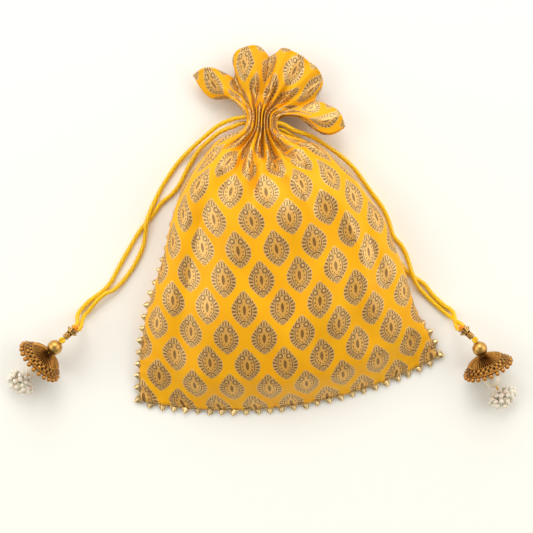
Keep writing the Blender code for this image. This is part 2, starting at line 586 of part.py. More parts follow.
def bell(name, string, finish):
    """A bell cap: a ribbed dome with a rim of balls and a hole for the thread."""
    bore = THREAD_DIAMETER / 2 + BORE_CLEARANCE
    rim = BELL_RIM_DIAMETER / 2
    ball = BELL_BALL_DIAMETER / 2
    shares = np.array((0.10, 0.36, 0.70, 1.0))
    curved = 1 - np.sqrt(1 - (DOME_FULLNESS * shares) ** 2)
    dome = np.column_stack([BELL_HEIGHT * curved / curved[-1], shares * rim])
    inner = dome + BELL_WALL * np.column_stack([1 + 0.2 * shares, -0.9 * shares])
    inner[:, 1] = np.maximum(inner[:, 1], bore)
    lift = np.radians((-50, 10, 70))
    lip = np.column_stack([BELL_HEIGHT + ball * np.sin(lift), rim + 0.55 * ball * np.cos(lift)])
    profile = [(0, bore), *dome[:-1], *lip, (BELL_HEIGHT, rim - 0.9 * ball), *inner[-2:0:-2]]
    profile = [*profile, (BELL_WALL, bore)]

    def beaded(angle, radius, along):
        """Flutes on the dome that swell into a ball at each rib's end."""
        wave = np.cos(BELL_BALLS * angle)
        outside = np.clip((radius - 0.15 * rim) / (0.3 * rim), 0, 1)
        dome_count = len(dome)
        mark = np.zeros(radius.shape[1])
        mark[1:dome_count] = BELL_RIB_DEPTH / 2
        mark[dome_count : dome_count + 3] = 0.45 * ball
        return radius + wave * outside * mark, along

    return turned(name, profile, string.apex, string.axis, 2 * BELL_BALLS, finish, beaded)


def fuse(target, parts):
    """Joins each part into the target as one closed body."""
    for part in parts:
        joined = target.modifiers.new("join", "BOOLEAN")
        joined.operation = "UNION"
        joined.object = part
        graph = bpy.context.evaluated_depsgraph_get()
        fresh = bpy.data.meshes.new_from_object(target.evaluated_get(graph))
        target.modifiers.clear()
        target.data = fresh
        bpy.data.objects.remove(part)


def cluster(name, string, finish):
    """A bunch of seed pearls sewn close together over a core."""
    sizes = np.array((CLUSTER_LENGTH, CLUSTER_WIDTH, CLUSTER_HEIGHT)) / 2 - SEED_PEARL_DIAMETER / 2
    way = string.pearl_way
    side = np.cross((0, 0, 1), way)
    side /= np.linalg.norm(side)
    frame = np.column_stack([way, side, np.cross(way, side)])

    def ball(label, radius, centre, scale, detail):
        mesh = bpy.data.meshes.new(label)
        shape = bmesh.new()
        bmesh.ops.create_icosphere(shape, subdivisions=detail, radius=radius)
        for vertex in shape.verts:
            local = np.array(vertex.co) * scale + centre
            vertex.co = string.cluster + frame @ local
        shape.to_mesh(mesh)
        shape.free()
        mesh.materials.append(finish)
        made = bpy.data.objects.new(label, mesh)
        bpy.context.scene.collection.objects.link(made)
        return made

    core = ball(name, 1.0, np.zeros(3), sizes * 1.06, 1)
    golden = math.pi * (3 - math.sqrt(5))
    pearls = []
    for k in range(SEED_PEARLS):
        up = 1 - 2 * (k + 0.5) / SEED_PEARLS
        across = math.sqrt(1 - up * up)
        point = np.array((up, across * math.cos(golden * k), across * math.sin(golden * k)))
        pearls.append(ball(f"seed_{k}", SEED_PEARL_DIAMETER / 2, point * sizes, np.ones(3), 1))
    fuse(core, pearls)
    return core


def lace_side_points(t_from, t_to, side, count):
    """Seam points along one side, between two shares of the cloth's length."""
    found = []
    for t in np.linspace(t_from, t_to, count):
        ends = body_chord(t)
        edge = ends[0] if side < 0 else ends[1]
        tuck = follow(TUCK_LEFT if side < 0 else TUCK_RIGHT, t) * SIDE_TUCK
        along = (ends[1] - ends[0]) / np.linalg.norm(ends[1] - ends[0])
        found.append((*(edge - side * tuck * along), SEAM_HEIGHT * follow(SEAM_RISE, t)))
    return np.array(found)


def lace(name, finish):
    """The lace: a tape held in the seam and a row of folded points outside it."""
    left = lace_side_points(0.80, 0, -1, 30)
    right = lace_side_points(0, 0.80, 1, 30)
    ends = body_chord(0)
    share = np.linspace(-1, 1, 41)
    bottom = place_row(*ends, share, np.full_like(share, SEAM_HEIGHT * follow(SEAM_RISE, 0)), 0)
    path = np.vstack([left[:-1], bottom[:-1], right])
    along = np.concatenate([[0], np.cumsum(np.linalg.norm(np.diff(path, axis=0), axis=1))])
    count = int(round(along[-1] / LACE_PITCH))
    stops = np.linspace(0, along[-1], 2 * count + 1)
    seam = np.column_stack([np.interp(stops, along, path[:, k]) for k in range(3)])
    way = np.gradient(seam, axis=0)
    out = np.column_stack([way[:, 1], -way[:, 0], np.zeros(len(way))])
    out /= np.linalg.norm(out, axis=1, keepdims=True)
    up = np.array((0, 0, TAPE_THICKNESS / 2))
    inside = (seam - out * TAPE_INSIDE)[::2]
    root = (seam + out * LACE_BAND)[::2]
    tips = (seam + out * (LACE_BAND + LACE_POINT))[1::2]
    crest = (seam + out * (LACE_BAND + 0.4 * LACE_POINT))[1::2]
    puff = np.array((0, 0, (LACE_POINT_HEIGHT + TAPE_THICKNESS) / 2))
    points = np.vstack([inside + up, inside - up, root + up, root - up, tips, crest + puff, crest - puff])
    n = count + 1
    iu, il, ru, rl = (np.arange(n) + k * n for k in range(4))
    tip, top, low = (np.arange(count) + 4 * n + k * count for k in range(3))
    faces = []
    for a in range(count):
        b = a + 1
        faces += [(iu[a], iu[b], ru[b], ru[a]), (il[b], il[a], rl[a], rl[b]), (iu[b], iu[a], il[a], il[b])]
        faces += [(ru[a], ru[b], top[a]), (ru[a], top[a], tip[a]), (top[a], ru[b], tip[a])]
        faces += [(rl[b], rl[a], low[a]), (rl[a], tip[a], low[a]), (rl[b], low[a], tip[a])]
        faces += [(rl[a], ru[a], tip[a]), (ru[b], rl[b], tip[a])]
    faces += [(iu[0], ru[0], rl[0], il[0]), (iu[-1], il[-1], rl[-1], ru[-1])]
    return mesh_object(name, points, faces, finish)


def cut_tunnels(panels, strings):
    """Cuts the casing tunnels that the strings run in."""
    for number, points in enumerate(strings):
        near = np.abs(points[:, 0] - NECK_X) < NECK_WIDTH / 2 + 9 * MM
        high = points[:, 1] > NECK_Y - NECK_LENGTH
        wide = CORD_DIAMETER + 2 * CORD_CLEARANCE
        guide = tube(f"tunnel_guide_{number}", points[near & high], wide, None)
        graph = bpy.context.evaluated_depsgraph_get()
        mesh = bpy.data.meshes.new_from_object(guide.evaluated_get(graph))
        shape = bmesh.new()
        shape.from_mesh(mesh)
        bmesh.ops.remove_doubles(shape, verts=shape.verts, dist=1e-6)
        bmesh.ops.recalc_face_normals(shape, faces=shape.faces)
        shape.to_mesh(mesh)
        shape.free()
        bpy.data.objects.remove(guide)
        cutter = bpy.data.objects.new(f"tunnel_{number}", mesh)
        bpy.context.scene.collection.objects.link(cutter)
        cutter.hide_render = True
        cutter.display_type = "WIRE"
        for cloth in panels:
            cut = cloth.modifiers.new(f"tunnel_{number}", "BOOLEAN")
            cut.operation = "DIFFERENCE"
            cut.solver = "EXACT"
            cut.object = cutter


def tassel(side_name, layout, finishes):
    """Builds the strung pieces of one tassel."""
    string = Stringing(layout)
    whip, cap, ring, knot = string.places[3], string.places[2], string.places[1], string.places[0]
    ways = string.ways
    bore = THREAD_DIAMETER / 2 + BORE_CLEARANCE
    half = WHIPPING_LENGTH / 2
    coils = [(z, 0.46 + 0.04 * (k % 2)) for k, z in enumerate(np.linspace(-half, half, 7))]
    profile = [(-half, bore), *[(z, r * WHIPPING_WIDTH) for z, r in coils], (half, bore)]
    turned(f"{side_name}_cord_whipping", profile, whip, ways[3], 12, finishes["whipping"], flattened)
    half = CAP_LENGTH / 2
    flare = [(-half, 0.30), (-0.2 * half, 0.34), (half, 0.50), (half, 0.44), (0, 0.26)]
    profile = [(z, r * CAP_DIAMETER) for z, r in flare] + [(-0.1 * half, bore), (-half, bore)]
    turned(f"{side_name}_bead_cap", profile, cap, ways[2], 20, finishes["brass"], scalloped)
    half = RING_LENGTH / 2
    rings = [(-half, 0.40), (-0.75 * half, 0.5), (-0.35 * half, 0.42), (0, 0.5), (0.35 * half, 0.42),
             (0.75 * half, 0.5), (half, 0.40)]
    profile = [(-half, bore), *[(z, r * RING_DIAMETER) for z, r in rings], (half, bore)]
    turned(f"{side_name}_ring_bead", profile, ring, ways[1], 12, finishes["brass"])
    bored_ball(f"{side_name}_stop_knot", KNOT_DIAMETER, knot, ways[0], 10, 5, finishes["cord"], KNOT_LENGTH)
    bored_ball(f"{side_name}_gold_bead", BEAD_DIAMETER, string.bead, string.axis, 16, 7, finishes["bead"])
    bell(f"{side_name}_bell_cap", string, finishes["bell"])
    pearl = f"{side_name}_large_pearl"
    bored_ball(pearl, PEARL_DIAMETER, string.pearl, string.pearl_way, 16, 7, finishes["pearl"])
    cluster(f"{side_name}_pearl_cluster", string, finishes["seed"])
    tube(f"{side_name}_tassel_thread", string.thread_points(), THREAD_DIAMETER, finishes["thread"])


def flattened(angle, radius, along):
    """Presses the whipping's round turns to the oval of two strands side by side."""
    low = WHIPPING_HEIGHT / WHIPPING_WIDTH
    press = 1 / np.sqrt((np.cos(angle) / low) ** 2 + np.sin(angle) ** 2)
    return np.where(radius > 0.2 * WHIPPING_WIDTH, radius * press, radius), along


def scalloped(angle, radius, along):
    """Waves the bead cap's flared edge into ten petals."""
    return radius * (1 + 0.06 * np.cos(10 * angle) * (radius > 0.4 * CAP_DIAMETER)), along


def main():
    """Clears the scene and builds the pouch."""
    for old in list(bpy.data.objects):
        bpy.data.objects.remove(old)
    finishes = {
        "front": material("brocade_front", (0.90, 0.52, 0.02), 0.45),
        "back": material("brocade_back", (0.88, 0.50, 0.02), 0.45),
        "lace": material("gota_lace", (0.62, 0.45, 0.22), 0.4, 0.8),
        "cord": material("yellow_cord", (0.98, 0.68, 0.0), 0.5),
        "whipping": material("orange_whipping", (0.93, 0.50, 0.01), 0.5),
        "brass": material("antique_brass", (0.50, 0.33, 0.12), 0.35, 1.0),
        "bead": material("gold_bead", (0.62, 0.40, 0.12), 0.3, 1.0),
        "bell": material("antique_bell_brass", (0.42, 0.26, 0.09), 0.4, 1.0),
        "pearl": material("white_pearl", (0.95, 0.90, 0.82), 0.2),
        "seed": material("seed_pearl", (0.93, 0.88, 0.80), 0.25),
        "thread": material("tassel_thread", (0.95, 0.62, 0.05), 0.6),
    }
    panels = [panel("front_panel", 1, finishes["front"]), panel("back_panel", -1, finishes["back"])]
    lace("edge_lace", finishes["lace"])
    left, right = drawstring_points(-1), drawstring_points(1)
    tube("left_drawstring", left, CORD_DIAMETER, finishes["cord"])
    tube("right_drawstring", right, CORD_DIAMETER, finishes["cord"])
    cut_tunnels(panels, (left, right))
    tassel("left", LEFT_TASSEL, finishes)
    tassel("right", RIGHT_TASSEL, finishes)


main()
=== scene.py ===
"""Draws the drawstring pouch of silk brocade as it lies in the photograph.

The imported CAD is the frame: every piece here sits on it and rides its bodies. The cloth is drawn
from the same rows as the solid panels, on a finer grid, with its pleats and folds, and the woven
lattice is laid on it by lengths measured along the cloth. The strings, the lace and the tassels
are built piece by piece from formulas.
"""

import logging
import math
from dataclasses import dataclass
from enum import Enum

import bpy
import numpy as np
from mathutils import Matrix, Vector


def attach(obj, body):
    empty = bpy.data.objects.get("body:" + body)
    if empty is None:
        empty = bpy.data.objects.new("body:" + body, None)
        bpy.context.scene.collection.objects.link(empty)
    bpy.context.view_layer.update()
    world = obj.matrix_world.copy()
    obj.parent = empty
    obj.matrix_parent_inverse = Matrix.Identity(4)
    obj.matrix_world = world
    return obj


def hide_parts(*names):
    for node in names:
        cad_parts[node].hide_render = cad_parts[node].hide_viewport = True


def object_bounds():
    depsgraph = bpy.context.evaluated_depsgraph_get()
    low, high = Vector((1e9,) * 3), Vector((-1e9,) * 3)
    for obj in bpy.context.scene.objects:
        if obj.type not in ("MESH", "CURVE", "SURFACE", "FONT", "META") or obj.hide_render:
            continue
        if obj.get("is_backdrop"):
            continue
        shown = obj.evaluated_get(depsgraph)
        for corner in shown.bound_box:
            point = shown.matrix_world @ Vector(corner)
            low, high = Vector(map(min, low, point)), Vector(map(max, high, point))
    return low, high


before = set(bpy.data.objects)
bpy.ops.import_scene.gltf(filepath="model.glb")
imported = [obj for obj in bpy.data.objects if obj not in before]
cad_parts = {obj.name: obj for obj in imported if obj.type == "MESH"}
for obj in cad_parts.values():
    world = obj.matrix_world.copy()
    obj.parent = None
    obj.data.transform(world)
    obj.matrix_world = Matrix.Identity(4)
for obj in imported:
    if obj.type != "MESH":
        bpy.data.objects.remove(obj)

logging.basicConfig(level=logging.INFO, format="%(message)s")
log = logging.getLogger("pouch")

MM = 0.001
Array = np.ndarray
Stations = tuple[tuple[float, float], ...]
SIZE_AT_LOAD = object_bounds()


# Reading curves and building meshes


def follow(stations: Stations, at: Array | float) -> Array:
    """Reads a smooth curve through stations, keeping flat where they keep flat.

    Args:
        stations: (place, value) pairs in rising order of place.
        at: the places to read.
    Returns:
        The values: a cubic between neighbours, whose slope at a station is the harmonic mean of
        the rises on its two sides, or nought where they turn.
    """
    x = np.array([station[0] for station in stations], float)
    y = np.array([station[1] for station in stations], float)
    step = np.diff(x)
    rise = np.diff(y) / step
    slope = np.zeros_like(y)
    same = rise[1:] * rise[:-1] > 0
    slope[1:-1][same] = 2 * rise[1:][same] * rise[:-1][same] / (rise[1:] + rise[:-1])[same]
    slope[0], slope[-1] = rise[0], rise[-1]
    at = np.clip(np.asarray(at, float), x[0], x[-1])
    i = np.clip(np.searchsorted(x, at, side="right") - 1, 0, len(step) - 1)
    s = (at - x[i]) / step[i]
    return (
        y[i] * (1 + 2 * s) * (1 - s) ** 2
        + y[i + 1] * s * s * (3 - 2 * s)
        + slope[i] * step[i] * s * (1 - s) ** 2
        - slope[i + 1] * step[i] * s * s * (1 - s)
    )


def ease(x: Array | float) -> Array:
    """Rises from 0 to 1 with level ends.

    Args:
        x: the share of the way, clipped to 0 and 1.
    Returns:
        3 x squared less 2 x cubed.
    """
    x = np.clip(x, 0, 1)
    return x * x * (3 - 2 * x)


def unit(vectors: Array) -> Array:
    """Scales vectors to length one.

    Args:
        vectors: an array whose last axis holds x, y and z.
    Returns:
        The same directions with length one.
    """
    return vectors / np.maximum(np.linalg.norm(vectors, axis=-1, keepdims=True), 1e-12)


def smooth_path(points: Array, spacing: float) -> Array:
    """Reads evenly spaced points on a smooth curve through chosen ones.

    Args:
        points: the route's chosen points.
        spacing: the distance wanted between the points read, in metres.
    Returns:
        Points on the cubic that passes each chosen point with the slope of its two neighbours.
    """
    points = np.array(points, float)
    padded = np.vstack([2 * points[0] - points[1], points, 2 * points[-1] - points[-2]])
    s = np.linspace(0, 1, 24, endpoint=False)[None, :, None]
    p0, p1, p2, p3 = (padded[k : len(padded) - 3 + k, None, :] for k in range(4))
    curve = 0.5 * (
        2 * p1 + (p2 - p0) * s + (2 * p0 - 5 * p1 + 4 * p2 - p3) * s**2 + (3 * p1 - p0 - 3 * p2 + p3) * s**3
    )
    fine = np.vstack([curve.reshape(-1, 3), points[-1:]])
    along = np.concatenate([[0], np.cumsum(np.linalg.norm(np.diff(fine, axis=0), axis=1))])
    wanted = np.linspace(0, along[-1], max(int(round(along[-1] / spacing)), 2) + 1)
    return np.column_stack([np.interp(wanted, along, fine[:, k]) for k in range(3)])


def length_of(points: Array) -> float:
    """Measures a line.

    Args:
        points: the points along it.
    Returns:
        The sum of its steps.
    """
    return float(np.linalg.norm(np.diff(points, axis=0), axis=1).sum())


def grid_faces(rows: int, columns: int, round_rows: bool = False, round_columns: bool = False) -> Array:
    """Lists the four-cornered faces of a grid of points.

    Args:
        rows: how many rows the grid has.
        columns: how many points each row has.
        round_rows: whether the last row joins the first.
        round_columns: whether each row's last point joins its first.
    Returns:
        One row of four point numbers a face.
    """
    number = np.arange(rows * columns).reshape(rows, columns)
    if round_rows:
        number = np.vstack([number, number[:1]])
    if round_columns:
        number = np.hstack([number, number[:, :1]])
    corners = [number[:-1, :-1], number[:-1, 1:], number[1:, 1:], number[1:, :-1]]
    return np.stack(corners, -1).reshape(-1, 4)


@dataclass
class Surface:
    """Points and faces on their way to a mesh, with their place in the pattern and their shade."""

    points: Array
    faces: Array
    pattern: Array | None = None
    hollow: Array | None = None

    @staticmethod
    def joined(parts: list["Surface"]) -> "Surface":
        """Puts several surfaces in one.

        Args:
            parts: the surfaces, all with or all without a pattern and hollows.
        Returns:
            One surface that holds them all.
        """
        starts = np.cumsum([0] + [len(part.points) for part in parts[:-1]])
        return Surface(
            np.vstack([part.points for part in parts]),
            np.vstack([part.faces + start for part, start in zip(parts, starts)]),
            None if parts[0].pattern is None else np.vstack([part.pattern for part in parts]),
            None if parts[0].hollow is None else np.concatenate([part.hollow for part in parts]),
        )

    def repeated(self, frames: Array, places: Array, sizes: Array | None = None) -> "Surface":
        """Sets a copy of this surface at every place given.

        Args:
            frames: one matrix of three column directions a copy.
            places: the origin of each copy.
            sizes: the scale of each copy, or none for full size.
        Returns:
            One surface with all the copies.
        """
        sizes = np.ones(len(places)) if sizes is None else sizes
        points = np.einsum("kij,pj->kpi", frames * sizes[:, None, None], self.points) + places[:, None, :]
        faces = self.faces[None] + (np.arange(len(places)) * len(self.points))[:, None, None]
        hollow = None if self.hollow is None else np.tile(self.hollow, len(places))
        return Surface(points.reshape(-1, 3), faces.reshape(-1, self.faces.shape[1]), None, hollow)

    def build(self, name: str, finish: bpy.types.Material) -> bpy.types.Object:
        """Makes the mesh object.

        Args:
            name: the object's name.
            finish: its material.
        Returns:
            The new object, with smooth faces, "pattern" as its UV map in millimetres of cloth and
            "hollow" as a point attribute where the surface has them.
        """
        mesh = bpy.data.meshes.new(name)
        sides = self.faces.shape[1]
        mesh.vertices.add(len(self.points))
        mesh.vertices.foreach_set("co", self.points.ravel())
        mesh.loops.add(self.faces.size)
        mesh.loops.foreach_set("vertex_index", self.faces.ravel().astype(np.int32))
        mesh.polygons.add(len(self.faces))
        mesh.polygons.foreach_set("loop_start", np.arange(0, self.faces.size, sides, dtype=np.int32))
        mesh.update(calc_edges=True)
        if self.pattern is not None:
            layer = mesh.uv_layers.new(name="pattern")
            layer.data.foreach_set("uv", self.pattern[self.faces.ravel()].ravel())
        if self.hollow is not None:
            shade = mesh.attributes.new("hollow", "FLOAT", "POINT")
            shade.data.foreach_set("value", self.hollow.astype(np.float32))
        mesh.validate()
        mesh.shade_smooth()
        mesh.materials.append(finish)
        made = bpy.data.objects.new(name, mesh)
        bpy.context.scene.collection.objects.link(made)
        log.info("%s: %d points, %d faces", name, len(self.points), len(self.faces))
        return made


def along_axis(origin: Array, axis: Array) -> tuple[Array, Array]:
    """Finds a frame whose third direction is an axis.

    Args:
        origin: where the frame sits.
        axis: the direction of its third column.
    Returns:
        The matrix of three column directions, and the origin.
    """
    turn = Vector(axis).normalized().to_track_quat("Z", "Y").to_matrix()
    return np.array(turn), np.array(origin)


def turned(radius: Array, along: Array, segments: int, frame_at: tuple[Array, Array]) -> Surface:
    """Turns a closed profile round an axis.

    Args:
        radius: the profile's radius, one value a point or one row a segment.
        along: its place along the axis, in the same form.
        segments: how many steps the turn takes.
        frame_at: the axis, as along_axis gives it.
    Returns:
        A closed ring whose point at angle a is (r cos a, r sin a, z) in the frame.
    """
    angle = 2 * math.pi * np.arange(segments)[:, None] / segments
    radius = np.broadcast_to(radius, (segments, np.shape(radius)[-1]))
    along = np.broadcast_to(along, radius.shape)
    local = np.stack([radius * np.cos(angle), radius * np.sin(angle), along], -1).reshape(-1, 3)
    turn, origin = frame_at
    faces = grid_faces(segments, radius.shape[1], True, True)
    return Surface(local @ turn.T + origin, faces)


def sweep_frames(path: Array) -> tuple[Array, Array]:
    """Carries two side directions along a path with no twist of their own.

    Args:
        path: the points along it.
    Returns:
        Two unit directions across the path at each point.
    """
    way = unit(np.gradient(path, axis=0))
    first = np.cross(way[0], (0, 0, 1))
    first = unit(first if np.linalg.norm(first) > 0.1 else np.cross(way[0], (0, 1, 0)))
    sides = [first]
    for direction in way[1:]:
        carried = sides[-1] - direction * (sides[-1] @ direction)
        sides.append(unit(carried))
    side = np.array(sides)
    return side, np.cross(way, side)


def swept(path: Array, radius: Array, turn: Array) -> Surface:
    """Sweeps a section along a path and closes both ends.

    Args:
        path: the points along it.
        radius: the section's radius, a row a path point and a column a turn.
        turn: the angles round the section.
    Returns:
        A tube whose pattern is (length along in millimetres, share of the way round).
    """
    side, up = sweep_frames(path)
    rim = radius[..., None] * (np.cos(turn)[None, :, None] * side[:, None] + np.sin(turn)[None, :, None] * up[:, None])
    points = path[:, None] + rim
    closing = np.linspace(0.75, 0.0, 3)[:, None, None]
    start = path[0] + rim[:1] * closing[::-1]
    end = path[-1] + rim[-1:] * closing
    points = np.concatenate([start, points, end])
    along = np.concatenate([[0], np.cumsum(np.linalg.norm(np.diff(path, axis=0), axis=1))]) / MM
    along = np.concatenate([np.zeros(3), along, np.full(3, along[-1])])
    pattern = np.stack(np.meshgrid(along, turn / (2 * math.pi), indexing="ij"), -1)
    faces = grid_faces(len(points), len(turn), False, True)
    return Surface(points.reshape(-1, 3), faces, pattern.reshape(-1, 2))


def ball(radius: float, rows: int, columns: int) -> Surface:
    """Makes a round ball round the origin.

    Args:
        radius: its radius.
        rows: steps from pole to pole.
        columns: steps round.
    Returns:
        The closed ball, whose pole rows shrink to a speck.
    """
    lift = np.linspace(-math.pi / 2 * 0.995, math.pi / 2 * 0.995, rows)[:, None]
    turn = 2 * math.pi * np.arange(columns)[None, :] / columns
    points = np.stack([np.cos(lift) * np.cos(turn), np.cos(lift) * np.sin(turn), np.sin(lift) + 0 * turn], -1)
    return Surface(radius * points.reshape(-1, 3), grid_faces(rows, columns, False, True))


# Finishes


def colour(code: str) -> tuple[float, float, float, float]:
    """Turns an sRGB hex colour linear.

    Args:
        code: six hex digits after a hash sign.
    Returns:
        Red, green, blue and full alpha.
    """
    parts = np.array([int(code[k : k + 2], 16) / 255 for k in (1, 3, 5)])
    linear = np.where(parts <= 0.04045, parts / 12.92, ((parts + 0.055) / 1.055) ** 2.4)
    return (*(float(part) for part in linear), 1.0)


def add(tree: bpy.types.NodeTree, kind: str, inputs: dict | tuple = (), **settings: object) -> bpy.types.NodeSocket:
    """Adds a node with its settings and its links.

    Args:
        tree: the material's or world's tree.
        kind: the node's type without its "ShaderNode" front.
        inputs: what goes into each input, by name or number: another node's output, or a value.
        settings: the node's own properties.
    Returns:
        The node's first output that is in use.
    """
    node = tree.nodes.new("ShaderNode" + kind)
    for key, value in settings.items():
        setattr(node, key, value)
    pairs = inputs.items() if isinstance(inputs, dict) else enumerate(inputs)
    for key, value in pairs:
        if isinstance(value, bpy.types.NodeSocket):
            tree.links.new(value, node.inputs[key])
        else:
            node.inputs[key].default_value = value
    return next((socket for socket in node.outputs if socket.enabled), None)


def reckon(tree: bpy.types.NodeTree, formula: str, known: dict) -> dict:
    """Wires a formula given as lines of "result = OPERATION first second third".

    Args:
        tree: the tree that gets the nodes.
        formula: the lines, each naming one Math node and what goes in: an earlier result or a number.
        known: outputs that the formula may name, by name.
    Returns:
        Every result by name, with the known ones.
    """
    found = dict(known)
    for line in filter(None, (part.strip() for part in formula.splitlines())):
        result, _, rest = line.partition(" = ")
        operation, *names = rest.split()
        inputs = tuple(found[name] if name in found else float(name) for name in names)
        found[result] = add(tree, "Math", inputs, operation=operation)
    return found


def principled(name: str, **inputs: object) -> tuple[bpy.types.Material, bpy.types.NodeTree]:
    """Makes a material with one Principled shader.

    Args:
        name: the material's name.
        inputs: its shader's inputs, with spaces written as underscores.
    Returns:
        The material and its tree, whose shader node is called "Principled BSDF".
    """
    made = bpy.data.materials.new(name)
    made.use_nodes = True
    tree = made.node_tree
    shader = tree.nodes["Principled BSDF"]
    for key, value in inputs.items():
        shader.inputs[key.replace("_", " ")].default_value = value
    return made, tree


def feed(tree: bpy.types.NodeTree, **outputs: bpy.types.NodeSocket) -> None:
    """Links outputs to the Principled shader.

    Args:
        tree: the material's tree.
        outputs: what goes into each input, with spaces written as underscores.
    """
    shader = tree.nodes["Principled BSDF"]
    for key, socket in outputs.items():
        tree.links.new(socket, shader.inputs[key.replace("_", " ")])


@dataclass(frozen=True)
class SilkBrocade:
    """Yellow silk satin woven with a half-drop lattice of metallic-thread butis.

    The eye gets a saturated, softly shining ground. The butis are dark brown strokes on a tan
    field where they face it, and their cream glint covers them where the cloth tilts to the light.
    Pitches are millimetres of cloth. The bends are refractive indices: the metal threads' is high,
    which makes them glint, and the strokes' is lower again. thread_turn is radians a millimetre.
    """

    ground: str = "#FFC012"
    ground_deep: str = "#F4A008"
    field: str = "#DCA65A"
    fleck: str = "#F0CD8C"
    stroke: str = "#54270A"
    heart: str = "#E09A1C"
    glint: str = "#FFE2A6"
    column_pitch: float = 25.3
    row_pitch: float = 38.9
    ground_bend: float = 1.45
    buti_bend_more: float = 1.9
    stroke_bend_less: float = 1.05
    ground_rough: float = 0.46
    buti_rough_less: float = 0.12
    thread_turn: float = 14.0

    BUTI = """
        column = DIVIDE u COLUMN
        row = DIVIDE v ROW
        column_off = FRACT column
        row_off = FRACT row
        x_first = SUBTRACT column_off 0.5
        y_first = SUBTRACT row_off 0.5
        column_half = ADD column 0.5
        row_half = ADD row 0.5
        column_far = FRACT column_half
        row_far = FRACT row_half
        x_second = SUBTRACT column_far 0.5
        y_second = SUBTRACT row_far 0.5
        xa_first = ABSOLUTE x_first
        ya_first = ABSOLUTE y_first
        from_first = ADD xa_first ya_first
        xa_second = ABSOLUTE x_second
        ya_second = ABSOLUTE y_second
        from_second = ADD xa_second ya_second
        take_second = LESS_THAN from_second from_first
        take_first = SUBTRACT 1 take_second
        x_part = MULTIPLY x_first take_first
        x_share = MULTIPLY_ADD x_second take_second x_part
        y_part = MULTIPLY y_first take_first
        y_share = MULTIPLY_ADD y_second take_second y_part
        x = MULTIPLY x_share COLUMN
        y = MULTIPLY y_share ROW
        xa = ABSOLUTE x
        up = MAXIMUM y 0
        down = MINIMUM y 0
        up_part = MULTIPLY up 0.72
        tall = MULTIPLY_ADD down 0.96 up_part
        shoulder = SUBTRACT y 2.0
        shoulder_on = MAXIMUM shoulder 0
        upper_lean = MULTIPLY_ADD shoulder_on 0.40 4.62
        waist = ADD y 3.0
        waist_on = MINIMUM waist 0
        lean = MULTIPLY_ADD waist_on -0.25 upper_lean
        bow = ADD xa lean
        bow_square = MULTIPLY bow bow
        reach_square = MULTIPLY_ADD tall tall bow_square
        reach = SQRT reach_square
        depth = SUBTRACT 13.42 reach
        low_y = ADD y 1.2
        flat_y = MULTIPLY low_y 0.74
        angle = ARCTAN2 flat_y x
        teeth = MULTIPLY angle 26
        tooth = COSINE teeth
        scallop = MULTIPLY_ADD tooth 0.22 depth
        inside = DIVIDE scallop 0.3
        buti = MINIMUM inside 1
        buti_on = MAXIMUM buti 0
        round_end = SUBTRACT depth 1.1
        round_only = MINIMUM round_end 0
        tooth_round = MULTIPLY_ADD round_only 1.5 tooth
        tooth_on = GREATER_THAN tooth_round -0.30
        before_ring = LESS_THAN depth 3.2
        petals = MULTIPLY before_ring tooth_on
        ring_off = SUBTRACT depth 3.95
        ring_far = ABSOLUTE ring_off
        ring = LESS_THAN ring_far 0.36
        dots_off = SUBTRACT depth 5.5
        dots_far = ABSOLUTE dots_off
        dots_band = LESS_THAN dots_far 0.5
        dots_turn = MULTIPLY angle 11
        dots_wave = SINE dots_turn
        dots_on = GREATER_THAN dots_wave 0.1
        dots = MULTIPLY dots_band dots_on
        core = GREATER_THAN depth 7.7
        scroll_x = SUBTRACT xa 2.9
        scroll_y = SUBTRACT y 6.0
        scroll_reach = MULTIPLY scroll_x scroll_x
        scroll_square = MULTIPLY_ADD scroll_y scroll_y scroll_reach
        scroll_far = SQRT scroll_square
        scroll_off = SUBTRACT scroll_far 1.45
        scroll_line = ABSOLUTE scroll_off
        scroll = LESS_THAN scroll_line 0.5
        near_scroll = LESS_THAN scroll_far 2.3
        bud_y = SUBTRACT y 9.9
        bud_far = ABSOLUTE bud_y
        bud_near = LESS_THAN bud_far 1.7
        bud_turn = MULTIPLY xa 3.4
        bud_wave = COSINE bud_turn
        bud_on = GREATER_THAN bud_wave 0.1
        bud = MULTIPLY bud_near bud_on
        fan_y = ADD y 10.6
        fan_reach = MULTIPLY xa xa
        fan_square = MULTIPLY_ADD fan_y fan_y fan_reach
        fan_far = SQRT fan_square
        fan_off = SUBTRACT fan_far 3.5
        fan_line = ABSOLUTE fan_off
        fan_rim = LESS_THAN fan_line 0.5
        fan_angle = ARCTAN2 fan_y x
        fan_turn = MULTIPLY fan_angle 8
        fan_wave = COSINE fan_turn
        fan_ray = GREATER_THAN fan_wave 0.0
        near_fan = LESS_THAN fan_far 4.5
        fan_inner = LESS_THAN fan_far 2.5
        fan_rays = MULTIPLY fan_ray fan_inner
        fan = MAXIMUM fan_rim fan_rays
        rings = MAXIMUM ring dots
        rings_core = MAXIMUM rings core
        plain = MAXIMUM petals rings_core
        not_scroll = SUBTRACT 1 near_scroll
        plain_left = MULTIPLY plain not_scroll
        scroll_part = MULTIPLY scroll near_scroll
        with_scroll = MAXIMUM plain_left scroll_part
        not_bud = SUBTRACT 1 bud_near
        bud_left = MULTIPLY with_scroll not_bud
        with_bud = MAXIMUM bud_left bud
        not_fan = SUBTRACT 1 near_fan
        upper_left = MULTIPLY with_bud not_fan
        fan_part = MULTIPLY fan near_fan
        strokes = MAXIMUM upper_left fan_part
        in_rim = GREATER_THAN depth 0.45
        stroke_on = MULTIPLY strokes in_rim
        heart = GREATER_THAN depth 4.5
        heart_clear = SUBTRACT 1 near_scroll
        heart_on = MULTIPLY heart heart_clear
    """

